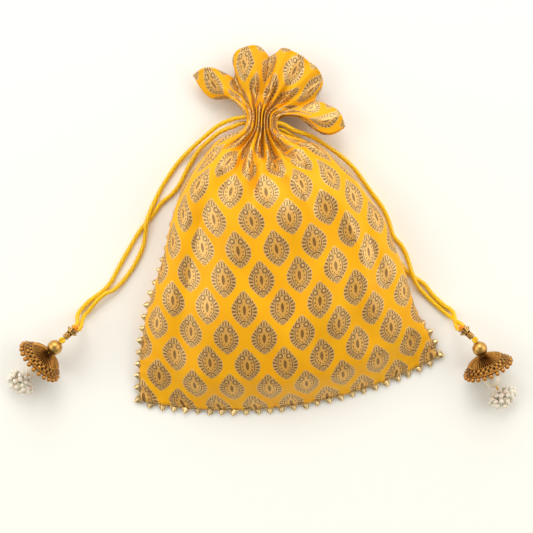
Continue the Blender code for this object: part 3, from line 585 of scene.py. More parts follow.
    def material(self, name: str) -> bpy.types.Material:
        """Makes the cloth's material.

        Args:
            name: the material's name.
        Returns:
            The material, which reads the "pattern" map in millimetres of cloth.
        """
        made, tree = principled(name, Specular_Tint=colour(self.glint))
        place = add(tree, "UVMap", uv_map="pattern")
        split = tree.nodes.new("ShaderNodeSeparateXYZ")
        tree.links.new(place, split.inputs[0])
        fuzz = add(tree, "TexNoise", {"Vector": place, "Scale": 1.6, "Detail": 3.0, "Roughness": 0.6})
        drawn_out = add(tree, "VectorMath", {0: place, 1: (0.9, 3.2, 1.0)}, operation="MULTIPLY")
        floats = add(tree, "TexNoise", {"Vector": drawn_out, "Scale": 1.0, "Detail": 2.0, "Roughness": 0.7})
        known = {"u_in": split.outputs[0], "v_in": split.outputs[1], "fuzz": fuzz, "floats": floats}
        start = """
            stray = SUBTRACT fuzz 0.5
            u = MULTIPLY_ADD stray 0.7 u_in
            v = MULTIPLY_ADD stray 0.7 v_in
        """
        formula = self.BUTI.replace("COLUMN", str(self.column_pitch)).replace(" ROW", f" {self.row_pitch}")
        known = reckon(tree, start, known)
        known = reckon(tree, formula, known)
        worn = f"""
            speck = GREATER_THAN fuzz 0.39
            stroke_worn = MULTIPLY stroke_on speck
            stroke_soft = MULTIPLY stroke_worn 0.90
            bend_buti = MULTIPLY_ADD buti_on {self.buti_bend_more} {self.ground_bend}
            bend = MULTIPLY_ADD stroke_worn -{self.stroke_bend_less} bend_buti
            rough = MULTIPLY_ADD buti_on -{self.buti_rough_less} {self.ground_rough}
            floats_off = SUBTRACT floats 0.53
            floats_sharp = MULTIPLY floats_off 5
            floats_low = MAXIMUM floats_sharp 0
            floats_on = MINIMUM floats_low 0.75
            thread_u = MULTIPLY u_in {self.thread_turn}
            thread_v = MULTIPLY v_in {self.thread_turn}
            weft = SINE thread_v
            warp = SINE thread_u
            weave = MULTIPLY weft warp
            raised = MULTIPLY buti_on 0.6
            pile = MULTIPLY_ADD stroke_worn -0.35 raised
            height = MULTIPLY_ADD weave 0.07 pile
        """
        known = reckon(tree, worn, known)
        broad = add(tree, "TexNoise", {"Vector": place, "Scale": 0.035, "Detail": 2.0})
        ground = add(
            tree,
            "Mix",
            {"Factor": broad, 6: colour(self.ground_deep), 7: colour(self.ground)},
            data_type="RGBA",
        )
        field = add(
            tree,
            "Mix",
            {"Factor": known["heart_on"], 6: colour(self.field), 7: colour(self.heart)},
            data_type="RGBA",
        )
        lively = add(tree, "Mix", {"Factor": known["floats_on"], 6: field, 7: colour(self.fleck)}, data_type="RGBA")
        drawn = add(tree, "Mix", {"Factor": known["stroke_soft"], 6: lively, 7: colour(self.stroke)}, data_type="RGBA")
        woven = add(tree, "Mix", {"Factor": known["buti_on"], 6: ground, 7: drawn}, data_type="RGBA")
        bump = add(tree, "Bump", {"Height": known["height"], "Distance": 0.00012, "Strength": 0.5})
        feed(tree, Base_Color=woven, IOR=known["bend"], Roughness=known["rough"], Normal=bump)
        return made


@dataclass(frozen=True)
class SatinCord:
    """Bright yellow rayon satin, in floats that run aslant round the cord.

    The eye gets fine slanting lights on a strong yellow with orange in the hollows: lit is a painted highlight on the
    floats and shade a painted shade between them.
    """

    lit: str = "#FFDA00"
    shade: str = "#EEA800"
    floats_per_turn: float = 5.0
    slant: float = 0.14
    roughness: float = 0.32

    def material(self, name: str) -> bpy.types.Material:
        """Makes the cord's material.

        Args:
            name: the material's name.
        Returns:
            The material, which reads (millimetres along, share round) from the pattern map.
        """
        made, tree = principled(name, Roughness=self.roughness)
        split = tree.nodes.new("ShaderNodeSeparateXYZ")
        tree.links.new(add(tree, "UVMap", uv_map="pattern"), split.inputs[0])
        formula = f"""
            round = MULTIPLY v {self.floats_per_turn}
            turns = MULTIPLY_ADD u {self.slant} round
            phase = MULTIPLY turns 6.2832
            wave = SINE phase
            share = MULTIPLY_ADD wave 0.5 0.5
        """
        known = reckon(tree, formula, {"u": split.outputs[0], "v": split.outputs[1]})
        # Painted light: share mixes from the painted shade colour to the painted highlight colour.
        mixed = add(
            tree, "Mix", {"Factor": known["share"], 6: colour(self.shade), 7: colour(self.lit)}, data_type="RGBA"
        )
        bump = add(tree, "Bump", {"Height": known["share"], "Distance": 0.00012, "Strength": 0.6})
        feed(tree, Base_Color=mixed, Normal=bump)
        return made


@dataclass(frozen=True)
class AntiqueMetal:
    """Gold-plated metal with painted shade in its hollows.

    The eye gets warm bright tops and brown painted shade in the recesses, so that small relief reads from afar, with
    random spots of wear.
    """

    bright: str
    dark: str
    roughness: float
    grain: float = 0.0

    def material(self, name: str) -> bpy.types.Material:
        """Makes the metal's material.

        Args:
            name: the material's name.
        Returns:
            The material, which paints shade by how deep a point lies, read from a point attribute of the mesh.
        """
        made, tree = principled(name, Metallic=1.0, Roughness=self.roughness)
        deep = add(tree, "Attribute", attribute_name="hollow")
        factor = next(socket for socket in deep.node.outputs if socket.name == "Fac")
        place = next(socket for socket in add(tree, "TexCoord").node.outputs if socket.name == "Object")
        spots = add(tree, "TexNoise", {"Vector": place, "Scale": 900.0, "Detail": 3.0})
        # Painted shade: a point's depth mixes it toward the dark colour, and worn adds random wear spots to that
        # depth.
        formula = """
            off = SUBTRACT spots 0.5
            worn = MULTIPLY_ADD off 0.5 deep
            low = MAXIMUM worn 0
            share = MINIMUM low 1
        """
        known = reckon(tree, formula, {"spots": spots, "deep": factor})
        mixed = add(
            tree, "Mix", {"Factor": known["share"], 6: colour(self.bright), 7: colour(self.dark)}, data_type="RGBA"
        )
        feed(tree, Base_Color=mixed)
        if self.grain:
            bump = add(tree, "Bump", {"Height": spots, "Distance": 0.0001, "Strength": self.grain})
            feed(tree, Normal=bump)
        return made


@dataclass(frozen=True)
class CoatedPearl:
    """Imitation pearl: a nacre lacquer over a bead.

    The eye gets a warm white body, a clear highlight and soft cream shading.
    """

    body: str = "#EFE1CA"
    roughness: float = 0.22
    coat: float = 0.6
    coat_roughness: float = 0.08
    glow: float = 0.25
    glow_depth: float = 2.0 * MM

    def material(self, name: str) -> bpy.types.Material:
        """Makes the pearl's material.

        Args:
            name: the material's name.
        Returns:
            The material.
        """
        made, _ = principled(
            name,
            Base_Color=colour(self.body),
            Roughness=self.roughness,
            Coat_Weight=self.coat,
            Coat_Roughness=self.coat_roughness,
            Subsurface_Weight=self.glow,
            Subsurface_Scale=self.glow_depth,
            Specular_IOR_Level=0.6,
        )
        return made


@dataclass(frozen=True)
class PaperSweep:
    """The studio's warm white paper. The eye gets a plain ground with soft shadows."""

    shade: str = "#FEFCF5"

    def material(self, name: str) -> bpy.types.Material:
        """Makes the paper's material.

        Args:
            name: the material's name.
        Returns:
            The material.
        """
        made, _ = principled(name, Base_Color=colour(self.shade), Roughness=0.9, Specular_IOR_Level=0.1)
        return made


# The cloth


@dataclass(frozen=True)
class Fold:
    """One fold pressed into the front panel, along a line seen from above.

    route holds millimetres in plan, height and width are millimetres, positive up.
    """

    route: tuple[tuple[float, float], ...]
    height: float
    width: float
    sharp: float = 1.6


FRONT_FOLDS = (
    Fold(((-22.0, 82.0), (-25.0, 69.5), (-30.5, 58.5), (-37.2, 49.2), (-46.0, 38.0), (-54.0, 22.0)), 4.6, 3.6),
    Fold(((-24.5, 70.0), (-27.0, 60.0), (-32.0, 50.5), (-34.5, 42.0), (-37.0, 30.0)), -6.0, 3.4),
    Fold(((-20.0, 74.0), (-22.5, 60.0), (-25.0, 46.0), (-31.0, 28.0), (-36.0, 10.0)), 3.2, 4.2),
    Fold(((-17.2, 62.0), (-19.2, 50.0), (-22.6, 42.5), (-23.0, 28.0), (-24.0, 12.0)), -4.6, 2.4),
    Fold(((-15.5, 74.0), (-14.2, 57.0), (-13.6, 43.6), (-15.4, 36.0)), 4.0, 2.0),
    Fold(((-12.8, 69.0), (-11.0, 58.4), (-10.2, 51.0), (-11.5, 42.0), (-8.0, 33.0)), -7.0, 2.6),
    Fold(((-12.5, 55.0), (-6.0, 44.0), (-1.5, 37.0), (7.7, 27.5), (12.0, 18.0), (18.0, 0.0)), 3.6, 3.4),
    Fold(((-11.5, 65.5), (-5.4, 61.2), (2.6, 57.8), (12.8, 56.0), (21.6, 53.2), (32.0, 44.0)), 3.4, 3.0),
    Fold(((-8.5, 60.0), (-2.0, 53.0), (6.0, 45.0), (16.0, 38.0), (26.0, 26.0)), -4.0, 3.6),
    Fold(((6.0, 47.0), (22.0, 34.0), (36.0, 16.0), (46.0, -8.0), (54.0, -40.0), (60.0, -78.0)), 2.4, 6.0),
    Fold(((30.0, 40.0), (44.0, 20.0), (54.0, -4.0), (62.0, -34.0), (70.0, -66.0)), -2.2, 5.0),
    Fold(((-36.0, 58.0), (-50.0, 44.0), (-62.0, 24.0), (-70.0, 2.0), (-76.0, -28.0)), 2.2, 5.0),
    Fold(((-48.0, 30.0), (-60.0, 4.0), (-66.0, -24.0), (-72.0, -60.0), (-74.0, -92.0)), -2.4, 6.0),
    Fold(((-30.0, 8.0), (-34.0, -24.0), (-40.0, -60.0), (-46.0, -92.0)), 1.1, 9.0),
    Fold(((2.0, 8.0), (4.0, -24.0), (8.0, -60.0), (12.0, -90.0)), -1.0, 9.0),
    Fold(((20.0, -10.0), (26.0, -40.0), (34.0, -80.0)), 1.2, 8.0),
)


@dataclass(frozen=True)
class PouchSizes:
    """The cloth's driving sizes in metres. They repeat the solid model's."""

    bottom_width: float = 203.2 * MM
    body_length: float = 181.9 * MM
    body_height: float = 42.5 * MM
    wall: float = 1.2 * MM
    bottom_sag: float = 18.0 * MM
    right_corner_rise: float = 30.4 * MM
    seam_height: float = 12.5 * MM
    side_tuck: float = 4.5 * MM
    seam_clearance: float = 0.3 * MM
    tape: float = 0.6 * MM
    floor_corner: float = 24.0 * MM
    axis_share: float = 0.087
    neck_x: float = -17.6 * MM
    neck_y: float = 74.0 * MM
    neck_width: float = 24.0 * MM
    neck_height: float = 23.0 * MM
    neck_length: float = 13.0 * MM
    neck_slant: float = 1.6 * MM
    frill_reach: float = 50.5 * MM
    frill_left: float = 146.0
    frill_right: float = -5.0
    frill_mouth: float = 12.5 * MM
    frill_droop: float = 3.0 * MM
    cloth_width: float = 208.0 * MM
    cloth_length: float = 260.0 * MM


class Side(Enum):
    """Which of the two panels a surface belongs to."""

    FRONT = 1
    BACK = -1


class PouchCloth:
    """The rows that the two panels lie on."""

    LEFT_X: Stations = (
        (0, -0.495), (0.10, -0.492), (0.23, -0.475), (0.46, -0.422), (0.63, -0.385),
        (0.70, -0.359), (0.81, -0.306), (0.88, -0.259), (0.95, -0.199), (1, -0.146),
    )
    LEFT_Y: Stations = (
        (0, 0), (0.10, 0.119), (0.23, 0.267), (0.46, 0.526), (0.63, 0.712), (0.70, 0.786),
        (0.81, 0.885), (0.88, 0.945), (0.95, 0.985), (1, 1),
    )
    RIGHT_X: Stations = (
        (0, 0.505), (0.10, 0.472), (0.23, 0.415), (0.35, 0.379), (0.50, 0.322), (0.65, 0.239),
        (0.78, 0.156), (0.85, 0.100), (0.95, 0.012), (1, -0.028),
    )
    RIGHT_Y: Stations = (
        (0, 0), (0.10, 0.120), (0.23, 0.276), (0.35, 0.423), (0.50, 0.601), (0.65, 0.757),
        (0.78, 0.886), (0.85, 0.935), (0.95, 0.985), (1, 1),
    )
    SAG: Stations = ((0, 1.0), (0.15, 1.4), (0.35, 1.1), (0.6, 0.78), (0.88, 0.53), (1, 0))
    CROWN: Stations = (
        (0, 0.085), (0.06, 0.33), (0.15, 0.66), (0.35, 0.94), (0.6, 1), (0.8, 0.90), (0.9, 0.76), (1, 0.57),
    )
    SEAM: Stations = ((0, 0.144), (0.06, 0.32), (0.15, 0.64), (0.35, 0.96), (0.6, 1), (1, 1))
    TUCK_LEFT: Stations = ((0, 0), (0.28, 0), (0.5, 0.8), (0.8, 1), (1, 0))
    TUCK_RIGHT: Stations = ((0, 0), (0.1, 0.6), (0.3, 1), (0.8, 1), (1, 0))
    SQUARE_LEFT: Stations = ((0, 1.5), (0.15, 1.6), (0.35, 2.1), (0.6, 2.5), (0.85, 2.3), (1, 2))
    SQUARE_RIGHT: Stations = ((0, 1.6), (0.15, 2.0), (0.35, 2.7), (0.6, 3.0), (0.85, 2.4), (1, 2))
    PACKING: Stations = ((0, 0), (0.86, 0), (0.93, 0.45), (0.99, 1), (1, 1))
    PETALS = ((123.0, 0.32, 9.0), (84.0, 0.15, 6.0), (20.0, 0.26, 9.0))
    RIDGES = ((140.0, 9.0), (103.0, 8.0), (60.0, 15.0), (5.0, 9.0))

    def __init__(self, sizes: PouchSizes, across: int) -> None:
        """Keeps the sizes.

        Args:
            sizes: the cloth's driving sizes.
            across: how many steps a row has.
        """
        self.sizes = sizes
        self.u = np.linspace(-1, 1, across + 1)

    def chord(self, t: float) -> tuple[Array, Array]:
        """Finds the two ends of a row across the body.

        Args:
            t: the row's share of the body's length.
        Returns:
            The left and right end in plan, drawn in to the neck over the last rows.
        """
        size = self.sizes
        foot = size.neck_y - size.neck_length / 2 - size.body_length
        run = size.body_length - size.right_corner_rise
        left = np.array((
            size.neck_x + size.bottom_width * (follow(self.LEFT_X, t) + size.axis_share),
            foot + size.body_length * follow(self.LEFT_Y, t),
        ))
        right = np.array((
            size.neck_x + size.bottom_width * (follow(self.RIGHT_X, t) + size.axis_share),
            foot + size.right_corner_rise + run * follow(self.RIGHT_Y, t),
        ))
        neck = np.array((size.neck_x, size.neck_y - size.neck_length / 2))
        drawn = ease((t - 0.93) / 0.07)
        left = left * (1 - drawn) + drawn * (neck - (size.neck_width / 2, 0))
        right = right * (1 - drawn) + drawn * (neck + (size.neck_width / 2, 0))
        return left, right

    def gap(self, t: float) -> float:
        """Half the room between the panels at the seam.

        Args:
            t: the row's share of the body's length.
        Returns:
            Room for the lace tape below the neck and next to none from there up.
        """
        shut = ease((t - 0.84) / 0.06)
        return (self.sizes.tape / 2 + 0.39 * MM) * (1 - shut) + self.sizes.seam_clearance / 2 * shut

    def tuck(self, x: Array, t: float) -> Array:
        """How far the seam lies under the bulge on each side.

        Args:
            x: places across the row.
            t: the row's share of the body's length.
        Returns:
            The tuck, negative on the left.
        """
        return np.where(x < 0, -follow(self.TUCK_LEFT, t), follow(self.TUCK_RIGHT, t)) * self.sizes.side_tuck

    def laid(self, left: Array, right: Array, x: Array, z: Array, t: float) -> Array:
        """Lays a section between its row's ends, evenly spaced, with its sag in plan.

        Args:
            left: the row's left end.
            right: the row's right end.
            x: places across, in metres from the middle.
            z: heights.
            t: the row's share of the body's length.
        Returns:
            The row's points.
        """
        along = np.concatenate([[0], np.cumsum(np.hypot(np.diff(x), np.diff(z)))])
        wanted = along[-1] * (self.u + 1) / 2
        x, z = np.interp(wanted, along, x), np.interp(wanted, along, z)
        middle, arm = (left + right) / 2, (right - left) / 2
        half = np.linalg.norm(arm)
        down = np.array((arm[1], -arm[0])) / half
        share = x / half
        sag = self.sizes.bottom_sag * follow(self.SAG, t) * np.clip(1 - share**2, 0, 1)
        return np.column_stack([middle + share[:, None] * arm + sag[:, None] * down, z])

    def front_row(self, t: float) -> Array:
        """The front panel's inner face along one row of the body.

        Args:
            t: the row's share of the body's length.
        Returns:
            Points on a superellipse arch whose foot is tucked in under its sides.
        """
        size = self.sizes
        left, right = self.chord(t)
        half = np.linalg.norm(right - left) / 2
        seam = size.seam_height * follow(self.SEAM, t) + self.gap(t)
        packed = follow(self.PACKING, t)
        crown = size.body_height * follow(self.CROWN, t) - size.wall
        crown = max(crown * (1 - packed) + packed * seam, seam)
        turn = np.linspace(math.pi, 0, 721)
        square = np.where(turn > math.pi / 2, follow(self.SQUARE_LEFT, t), follow(self.SQUARE_RIGHT, t))
        x = np.sign(np.cos(turn)) * np.abs(np.cos(turn)) ** (2 / square)
        up = np.abs(np.sin(turn)) ** (2 / square)
        bulge = self.tuck(x, t) * (np.sin(math.pi * np.clip(up, 0, 1)) - 1) * ease((np.abs(x) - 0.5) / 0.4)
        return self.laid(left, right, x * half + bulge, seam + (crown - seam) * up, t)

    def back_row(self, t: float) -> Array:
        """The back panel's inner face along one row, level where it lies on the table.

        Args:
            t: the row's share of the body's length.
        Returns:
            Points on a flat floor that rises to the seam in quarter circles.
        """
        size = self.sizes
        left, right = self.chord(t)
        half = np.linalg.norm(right - left) / 2
        seam = size.seam_height * follow(self.SEAM, t) - self.gap(t)
        packed = follow(self.PACKING, t)
        floor = min(size.wall * (1 - packed) + packed * seam, seam)
        corner = min(size.floor_corner, 0.7 * half)
        x = -np.cos(np.linspace(0, math.pi, 721)) * half
        reach = np.clip((np.abs(x) - (half - corner)) / corner, 0, 1)
        z = floor + (seam - floor) * (1 - np.sqrt(1 - reach**2))
        return self.laid(left, right, x - self.tuck(x, t) * ease((np.abs(x) / half - 0.5) / 0.4), z, t)

    def neck_row(self, share: float, side: int) -> Array:
        """The level inner face of one panel's packed casing.

        Args:
            share: how far up the neck the row lies.
            side: 1 for the front and -1 for the back.
        Returns:
            The row's points.
        """
        size = self.sizes
        x = size.neck_x + self.u * size.neck_width / 2
        y = size.neck_y + size.neck_length * (share - 0.5) - size.neck_slant * self.u * ease(share)
        return np.column_stack([x, y, np.full_like(x, size.seam_height + side * size.seam_clearance / 2)])

    def frill_row(self, share: float, side: int) -> Array:
        """One panel's inner face across the frill.

        Args:
            share: how far the row lies from the neck to the edge.
            side: 1 for the front and -1 for the back.
        Returns:
            Points on a fan whose reach dips between its petals and whose ridges stand up.
        """
        size = self.sizes
        u = self.u
        angle = size.frill_left + (size.frill_right - size.frill_left) * (u + 1) / 2
        dips = [np.exp(-(((angle - at) / width) ** 2)) for at, _, width in self.PETALS]
        dip = sum(lost * shape for (_, lost, _), shape in zip(self.PETALS, dips))
        valley = np.clip(sum(dips), 0, 1)
        reach = size.frill_reach * (1 - dip + 0.11 * np.abs(u) ** 5) - (1 * MM if side < 0 else 0)
        turn = np.radians(angle)
        root = self.neck_row(1.0, side)
        edge = np.column_stack([
            size.neck_x + reach * np.cos(turn),
            size.neck_y + 2 * MM + reach * np.sin(turn),
        ])
        flat = root[:, :2] * (1 - share) + edge * share
        droop = (math.sin(math.pi * share) - 1.5 * math.sin(2 * math.pi * share)) * np.abs(u) ** 4
        flat[:, 1] -= size.frill_droop * droop
        lifted = np.where(u > 0, 19 * MM, 9 * MM)
        seam = size.seam_height + (lifted - size.seam_height) * ease(share / 0.7)
        middle = size.seam_height * (1 - share) + 9 * MM * share
        seam = middle + (seam - middle) * np.abs(u) ** 3
        if side > 0:
            opened = size.frill_mouth * (1 - np.abs(u) ** 6) * (1 - 0.75 * valley) * ease(share / 0.6)
            ridge = sum(np.exp(-(((angle - at) / width) ** 2)) for at, width in self.RIDGES)
            lift = 2.2 * MM * (ridge - 0.5) * ease(share / 0.5) * (1 - np.abs(u) ** 6)
            z = seam + size.seam_clearance / 2 + opened * 0.6 + lift
        else:
            fallen = 0.95 * (1 - np.abs(u) ** 6) * ease(share / 0.8)
            z = seam - size.seam_clearance / 2 - (seam - size.wall - 1 * MM) * fallen
        return np.column_stack([flat, z])


@dataclass(frozen=True)
class PanelDetail:
    """How finely a panel is drawn, and its small gathers in metres.

    pleats_from and pleats_over are shares of the body's length, stitch_row and hem_row the places
    of the bottom seam's stitches and the frill's hem, and anchor is where one buti's middle lies.
    """

    across: int = 220
    body_rows: int = 104
    neck_rows: int = 16
    frill_rows: int = 62
    pleats: float = 11.0
    pleats_from: float = 0.78
    pleats_over: float = 0.17
    pleat_crest: float = 1.3 * MM
    pleat_valley: float = 3.0 * MM
    spread_valley: float = 4.5 * MM
    bundle_valley: float = 2.2 * MM
    pinch: float = 0.14
    wrinkle_depth: float = 0.62 * MM
    frill_calm: float = 0.85
    crinkle_depth: float = 0.5 * MM
    pucker_depth: float = 0.45 * MM
    flute_depth: float = 0.9 * MM
    hem_depth: float = 0.3 * MM
    stitch_row: float = 0.024
    hem_row: float = 0.955
    anchor: tuple[float, float] = (-4.3 * MM, -50.4 * MM)
    thickness: float = 0.45 * MM
    above_table: float = 0.1 * MM


class Panel:
    """One cloth panel: body, packed casing and frill in one sheet."""

    def __init__(self, side: Side, sizes: PouchSizes, detail: PanelDetail) -> None:
        """Keeps what the panel is drawn from.

        Args:
            side: front or back.
            sizes: the cloth's driving sizes.
            detail: how finely it is drawn.
        """
        self.side, self.sizes, self.detail = side, sizes, detail
        self.cloth = PouchCloth(sizes, detail.across)
        self.facing: Array = np.zeros(3)

    def rows(self) -> tuple[Array, Array, Array, Array]:
        """Lays out the panel's inner face.

        Returns:
            The grid of points, and for each row how packed it is, how deep its pleats are and its
            place: 0 to 1 up the body, 1 to 2 up the neck, 2 to 3 out to the frill's edge.
        """
        cloth, detail, sign = self.cloth, self.detail, self.side.value
        body = np.linspace(0, 1, detail.body_rows, endpoint=False) ** 0.94
        neck = np.linspace(0, 1, detail.neck_rows, endpoint=False)
        frill = np.linspace(0, 1, detail.frill_rows)
        body_row = cloth.front_row if sign > 0 else cloth.back_row
        grid = [body_row(t) for t in body]
        grid += [cloth.neck_row(share, sign) for share in neck]
        grid += [cloth.frill_row(share, sign) for share in frill]
        packed = [follow(cloth.PACKING, t) for t in body] + [1.0] * len(neck)
        packed += [1 - ease(share / 0.35) for share in frill]
        pleat = [ease((t - detail.pleats_from) / detail.pleats_over) for t in body] + [1.0] * len(neck)
        pleat += [1 - detail.frill_calm * ease((share - 0.02) / 0.6) for share in frill]
        place = np.concatenate([body, 1 + neck, 2 + frill])
        return np.array(grid), np.array(packed), np.array(pleat), place

    def normals(self, grid: Array) -> Array:
        """The direction away from the bag's inside at each point.

        Args:
            grid: the panel's points.
        Returns:
            Unit normals from the differences along and across.
        """
        return self.side.value * unit(np.cross(np.gradient(grid, axis=1), np.gradient(grid, axis=0)))

    def outer(self) -> tuple[Array, Array]:
        """Works out the panel's outer face with its gathers, and which way it faces before them.

        The gathers stand off along the normals by crest * wave less valley * (1 - wave), where wave is
        (0.5 - 0.5 cos(phase)) ^ 0.8 and the phase grows across the cloth with a slow stray. Wider
        bundles and a fine crinkle are added, and all of it grows with each row's pleats.

        Returns:
            The grid of points and each row's place.
        """
        grid, packed, pleat, place = self.rows()
        size, detail, sign, u = self.sizes, self.detail, self.side.value, self.cloth.u
        pack = size.neck_height / 2 - size.wall - size.seam_clearance / 2
        outer = grid + size.wall * self.normals(grid)
        outer[:, :, 2] += sign * pack * packed[:, None] * np.sqrt(np.clip(1 - u**2, 0, 1))
        self.facing = self.normals(outer)
        stray = 0.55 * np.sin(3.1 * u + 0.7) + 0.35 * np.sin(7.3 * u + sign)
        drift = 0.5 * np.sin(2.2 * place)[:, None] * np.cos(2.6 * u)[None, :]
        phase = math.pi * detail.pleats * (u + 1) + stray
        wave = (0.5 - 0.5 * np.cos(phase[None, :] + drift)) ** 0.8
        deep = 0.7 + 0.25 * np.sin(4.7 * u + 1.1) + 0.15 * np.sin(11.3 * u + 0.4)
        bundle = (0.5 + 0.5 * np.cos(math.pi * 3.2 * (u[None, :] + 1) + 0.5 + 1.4 * drift)) ** 2
        fine = np.sin(2.3 * phase[None, :] + 1.7 * drift + 0.9)
        casing = (1 - ease(np.abs(place - 1.5) / 0.75))[:, None]
        valley = detail.pleat_valley * casing + detail.spread_valley * (1 - casing)
        valley = valley * (0.35 + 0.8 * deep[None, :]) * (1 - wave) + detail.bundle_valley * bundle
        sunk = valley * (np.clip(1 - u**2, 0, 1) ** 0.35)[None, :]
        depth = detail.pleat_crest * wave * deep[None, :] - sunk + detail.crinkle_depth * fine
        outer += self.facing * (pleat[:, None] * depth)[..., None]
        return outer, place

    def folded(self, outer: Array, place: Array) -> Array:
        """Presses the measured folds into the front.

        Args:
            outer: the outer face.
            place: each row's place.
        Returns:
            The face, moved along its normals by height times exp(-(distance / width) ^ sharp),
            which fades at both ends of each fold and toward the frill.
        """
        plan = outer[..., :2] / MM
        moved = np.zeros(plan.shape[:2])
        for fold in FRONT_FOLDS:
            route = np.array(fold.route)
            legs = np.linalg.norm(np.diff(route, axis=0), axis=1)
            start = np.concatenate([[0], np.cumsum(legs)])
            nearest = np.full(moved.shape, np.inf)
            share = np.zeros(moved.shape)
            for a, b, leg, before in zip(route[:-1], route[1:], legs, start):
                s = np.clip(((plan - a) @ (b - a)) / leg**2, 0, 1)
                far = np.linalg.norm(plan - (a + s[..., None] * (b - a)), axis=-1)
                share = np.where(far < nearest, (before + s * leg) / start[-1], share)
                nearest = np.minimum(nearest, far)
            swell = ease(share / 0.22) * ease((1 - share) / 0.45)
            width = fold.width * (0.8 + 0.7 * share)
            moved += fold.height * swell * np.exp(-((nearest / width) ** fold.sharp))
        fade = 1 - ease((place - 1.2) / 0.5)
        edge = ease((1 - np.abs(self.cloth.u)) / 0.06)
        return outer + self.facing * (moved * MM * fade[:, None] * edge[None, :])[..., None]

    def eased(self, outer: Array) -> Array:
        """Lets the pleats run softly through the neck, and draws the neck in.

        Args:
            outer: the outer face.
        Returns:
            The face with its rows near the neck's two ends averaged with their neighbours, and
            narrowed by pinch times exp(-(y / 9 mm) ^ 2 - (x / 17 mm) ^ 4) from the neck's middle.
        """
        detail, size = self.detail, self.sizes
        row = np.arange(len(outer))
        ends = (detail.body_rows, detail.body_rows + detail.neck_rows)
        weight = np.clip(sum(np.exp(-(((row - end) / 9) ** 2)) for end in ends), 0, 1)[1:-1, None, None]
        soft = outer.copy()
        for _ in range(36):
            soft[1:-1] += 0.5 * weight * ((soft[:-2] + soft[2:]) / 2 - soft[1:-1])
        near = np.exp(-(((soft[..., 1] - size.neck_y) / (9 * MM)) ** 2))
        near *= np.exp(-(((soft[..., 0] - size.neck_x) / (17 * MM)) ** 4))
        soft[..., 0] -= (soft[..., 0] - size.neck_x) * detail.pinch * near
        return soft

    def puckered(self, outer: Array, place: Array) -> Array:
        """Draws the cloth in at its seams and hem, creases it softly and ruffles the frill's edge.

        Args:
            outer: the outer face.
            place: each row's place.
        Returns:
            The face with small waves that die away from the seam, crossing sines over the body, and
            flutes that grow outward.
        """
        detail, u = self.detail, self.cloth.u
        near_side = np.exp(-(1 - np.abs(u)) / 0.05)[None, :] * (place < 0.8)[:, None]
        waves = np.sin(2 * math.pi * place * 24)[:, None] + 0.5 * np.sin(2 * math.pi * place * 41 + 1)[:, None]
        near_foot = np.exp(-place / 0.035)[:, None] * (1 - near_side)
        cross = (np.sin(math.pi * 23 * u + 0.8) + 0.5 * np.sin(math.pi * 37 * u))[None, :]
        stitched = np.exp(-(((place - detail.stitch_row) / 0.006) ** 2))[:, None]
        bump = detail.pucker_depth * (near_side * waves + near_foot * cross - stitched)
        x, y = outer[..., 0] / MM, outer[..., 1] / MM
        soft = np.sin(x / 8.6 + 1.3 * np.sin(y / 19.0 + 0.6)) + 0.8 * np.sin(x / 5.1 - y / 17.0 + 1.9)
        soft = soft + 0.9 * np.sin(y / 10.5 + 1.6 * np.sin(x / 21.0 + 2.2)) + 0.6 * np.sin((x + y) / 6.7 + 0.4)
        body = ease((place - 0.03) / 0.1) * (1 - ease((place - 0.9) / 0.1))
        bump = bump + detail.wrinkle_depth * soft * body[:, None] * (1 - np.abs(u) ** 10)[None, :]
        out = np.clip(place - 2, 0, 1)[:, None]
        flute = np.sin(math.pi * 6.5 * u + 0.4)[None, :] + 0.6 * np.sin(math.pi * 11 * u + 2)[None, :]
        bump = bump + detail.flute_depth * flute * ease(out) * (1 - np.abs(u) ** 8)[None, :]
        hem = np.exp(-(((out - detail.hem_row) / 0.012) ** 2))
        bump = bump - detail.hem_depth * hem
        moved = outer + self.facing * bump[..., None]
        moved[..., 2] = np.maximum(moved[..., 2], detail.above_table)
        return moved

    def pattern(self, outer: Array, place: Array) -> Array:
        """Lays the weave on the panel by lengths of cloth.

        Args:
            outer: the outer face.
            place: each row's place.
        Returns:
            Millimetres across and along. Across is the length from the middle, and the cloth that a
            row is too short for is taken up near its ends as share ^ late. Along is the rows' mean
            spacing. One buti's middle lies where the photograph has it.
        """
        width = self.sizes.cloth_width / MM / 2
        quarter = len(self.cloth.u) // 4
        step = np.linalg.norm(np.diff(outer[:, quarter:-quarter], axis=0), axis=2).mean(1) / MM
        along = np.concatenate([[0], np.cumsum(step)])
        side = np.linalg.norm(np.diff(outer, axis=1), axis=2) / MM
        across = np.concatenate([np.zeros((len(outer), 1)), np.cumsum(side, axis=1)], axis=1)
        across -= across[:, [len(self.cloth.u) // 2]]
        reach = np.where(across < 0, -across[:, :1], across[:, -1:])
        share = np.abs(across) / reach
        late = (7 - 5 * ease((place - 0.6) / 0.3))[:, None]
        laid = across + np.sign(across) * (width - reach) * share**late
        laid = np.stack([laid, np.broadcast_to(along[:, None], laid.shape)], -1)
        far = np.linalg.norm(outer[..., :2] - self.detail.anchor, axis=-1)
        return laid - laid[np.unravel_index(np.argmin(far), far.shape)]

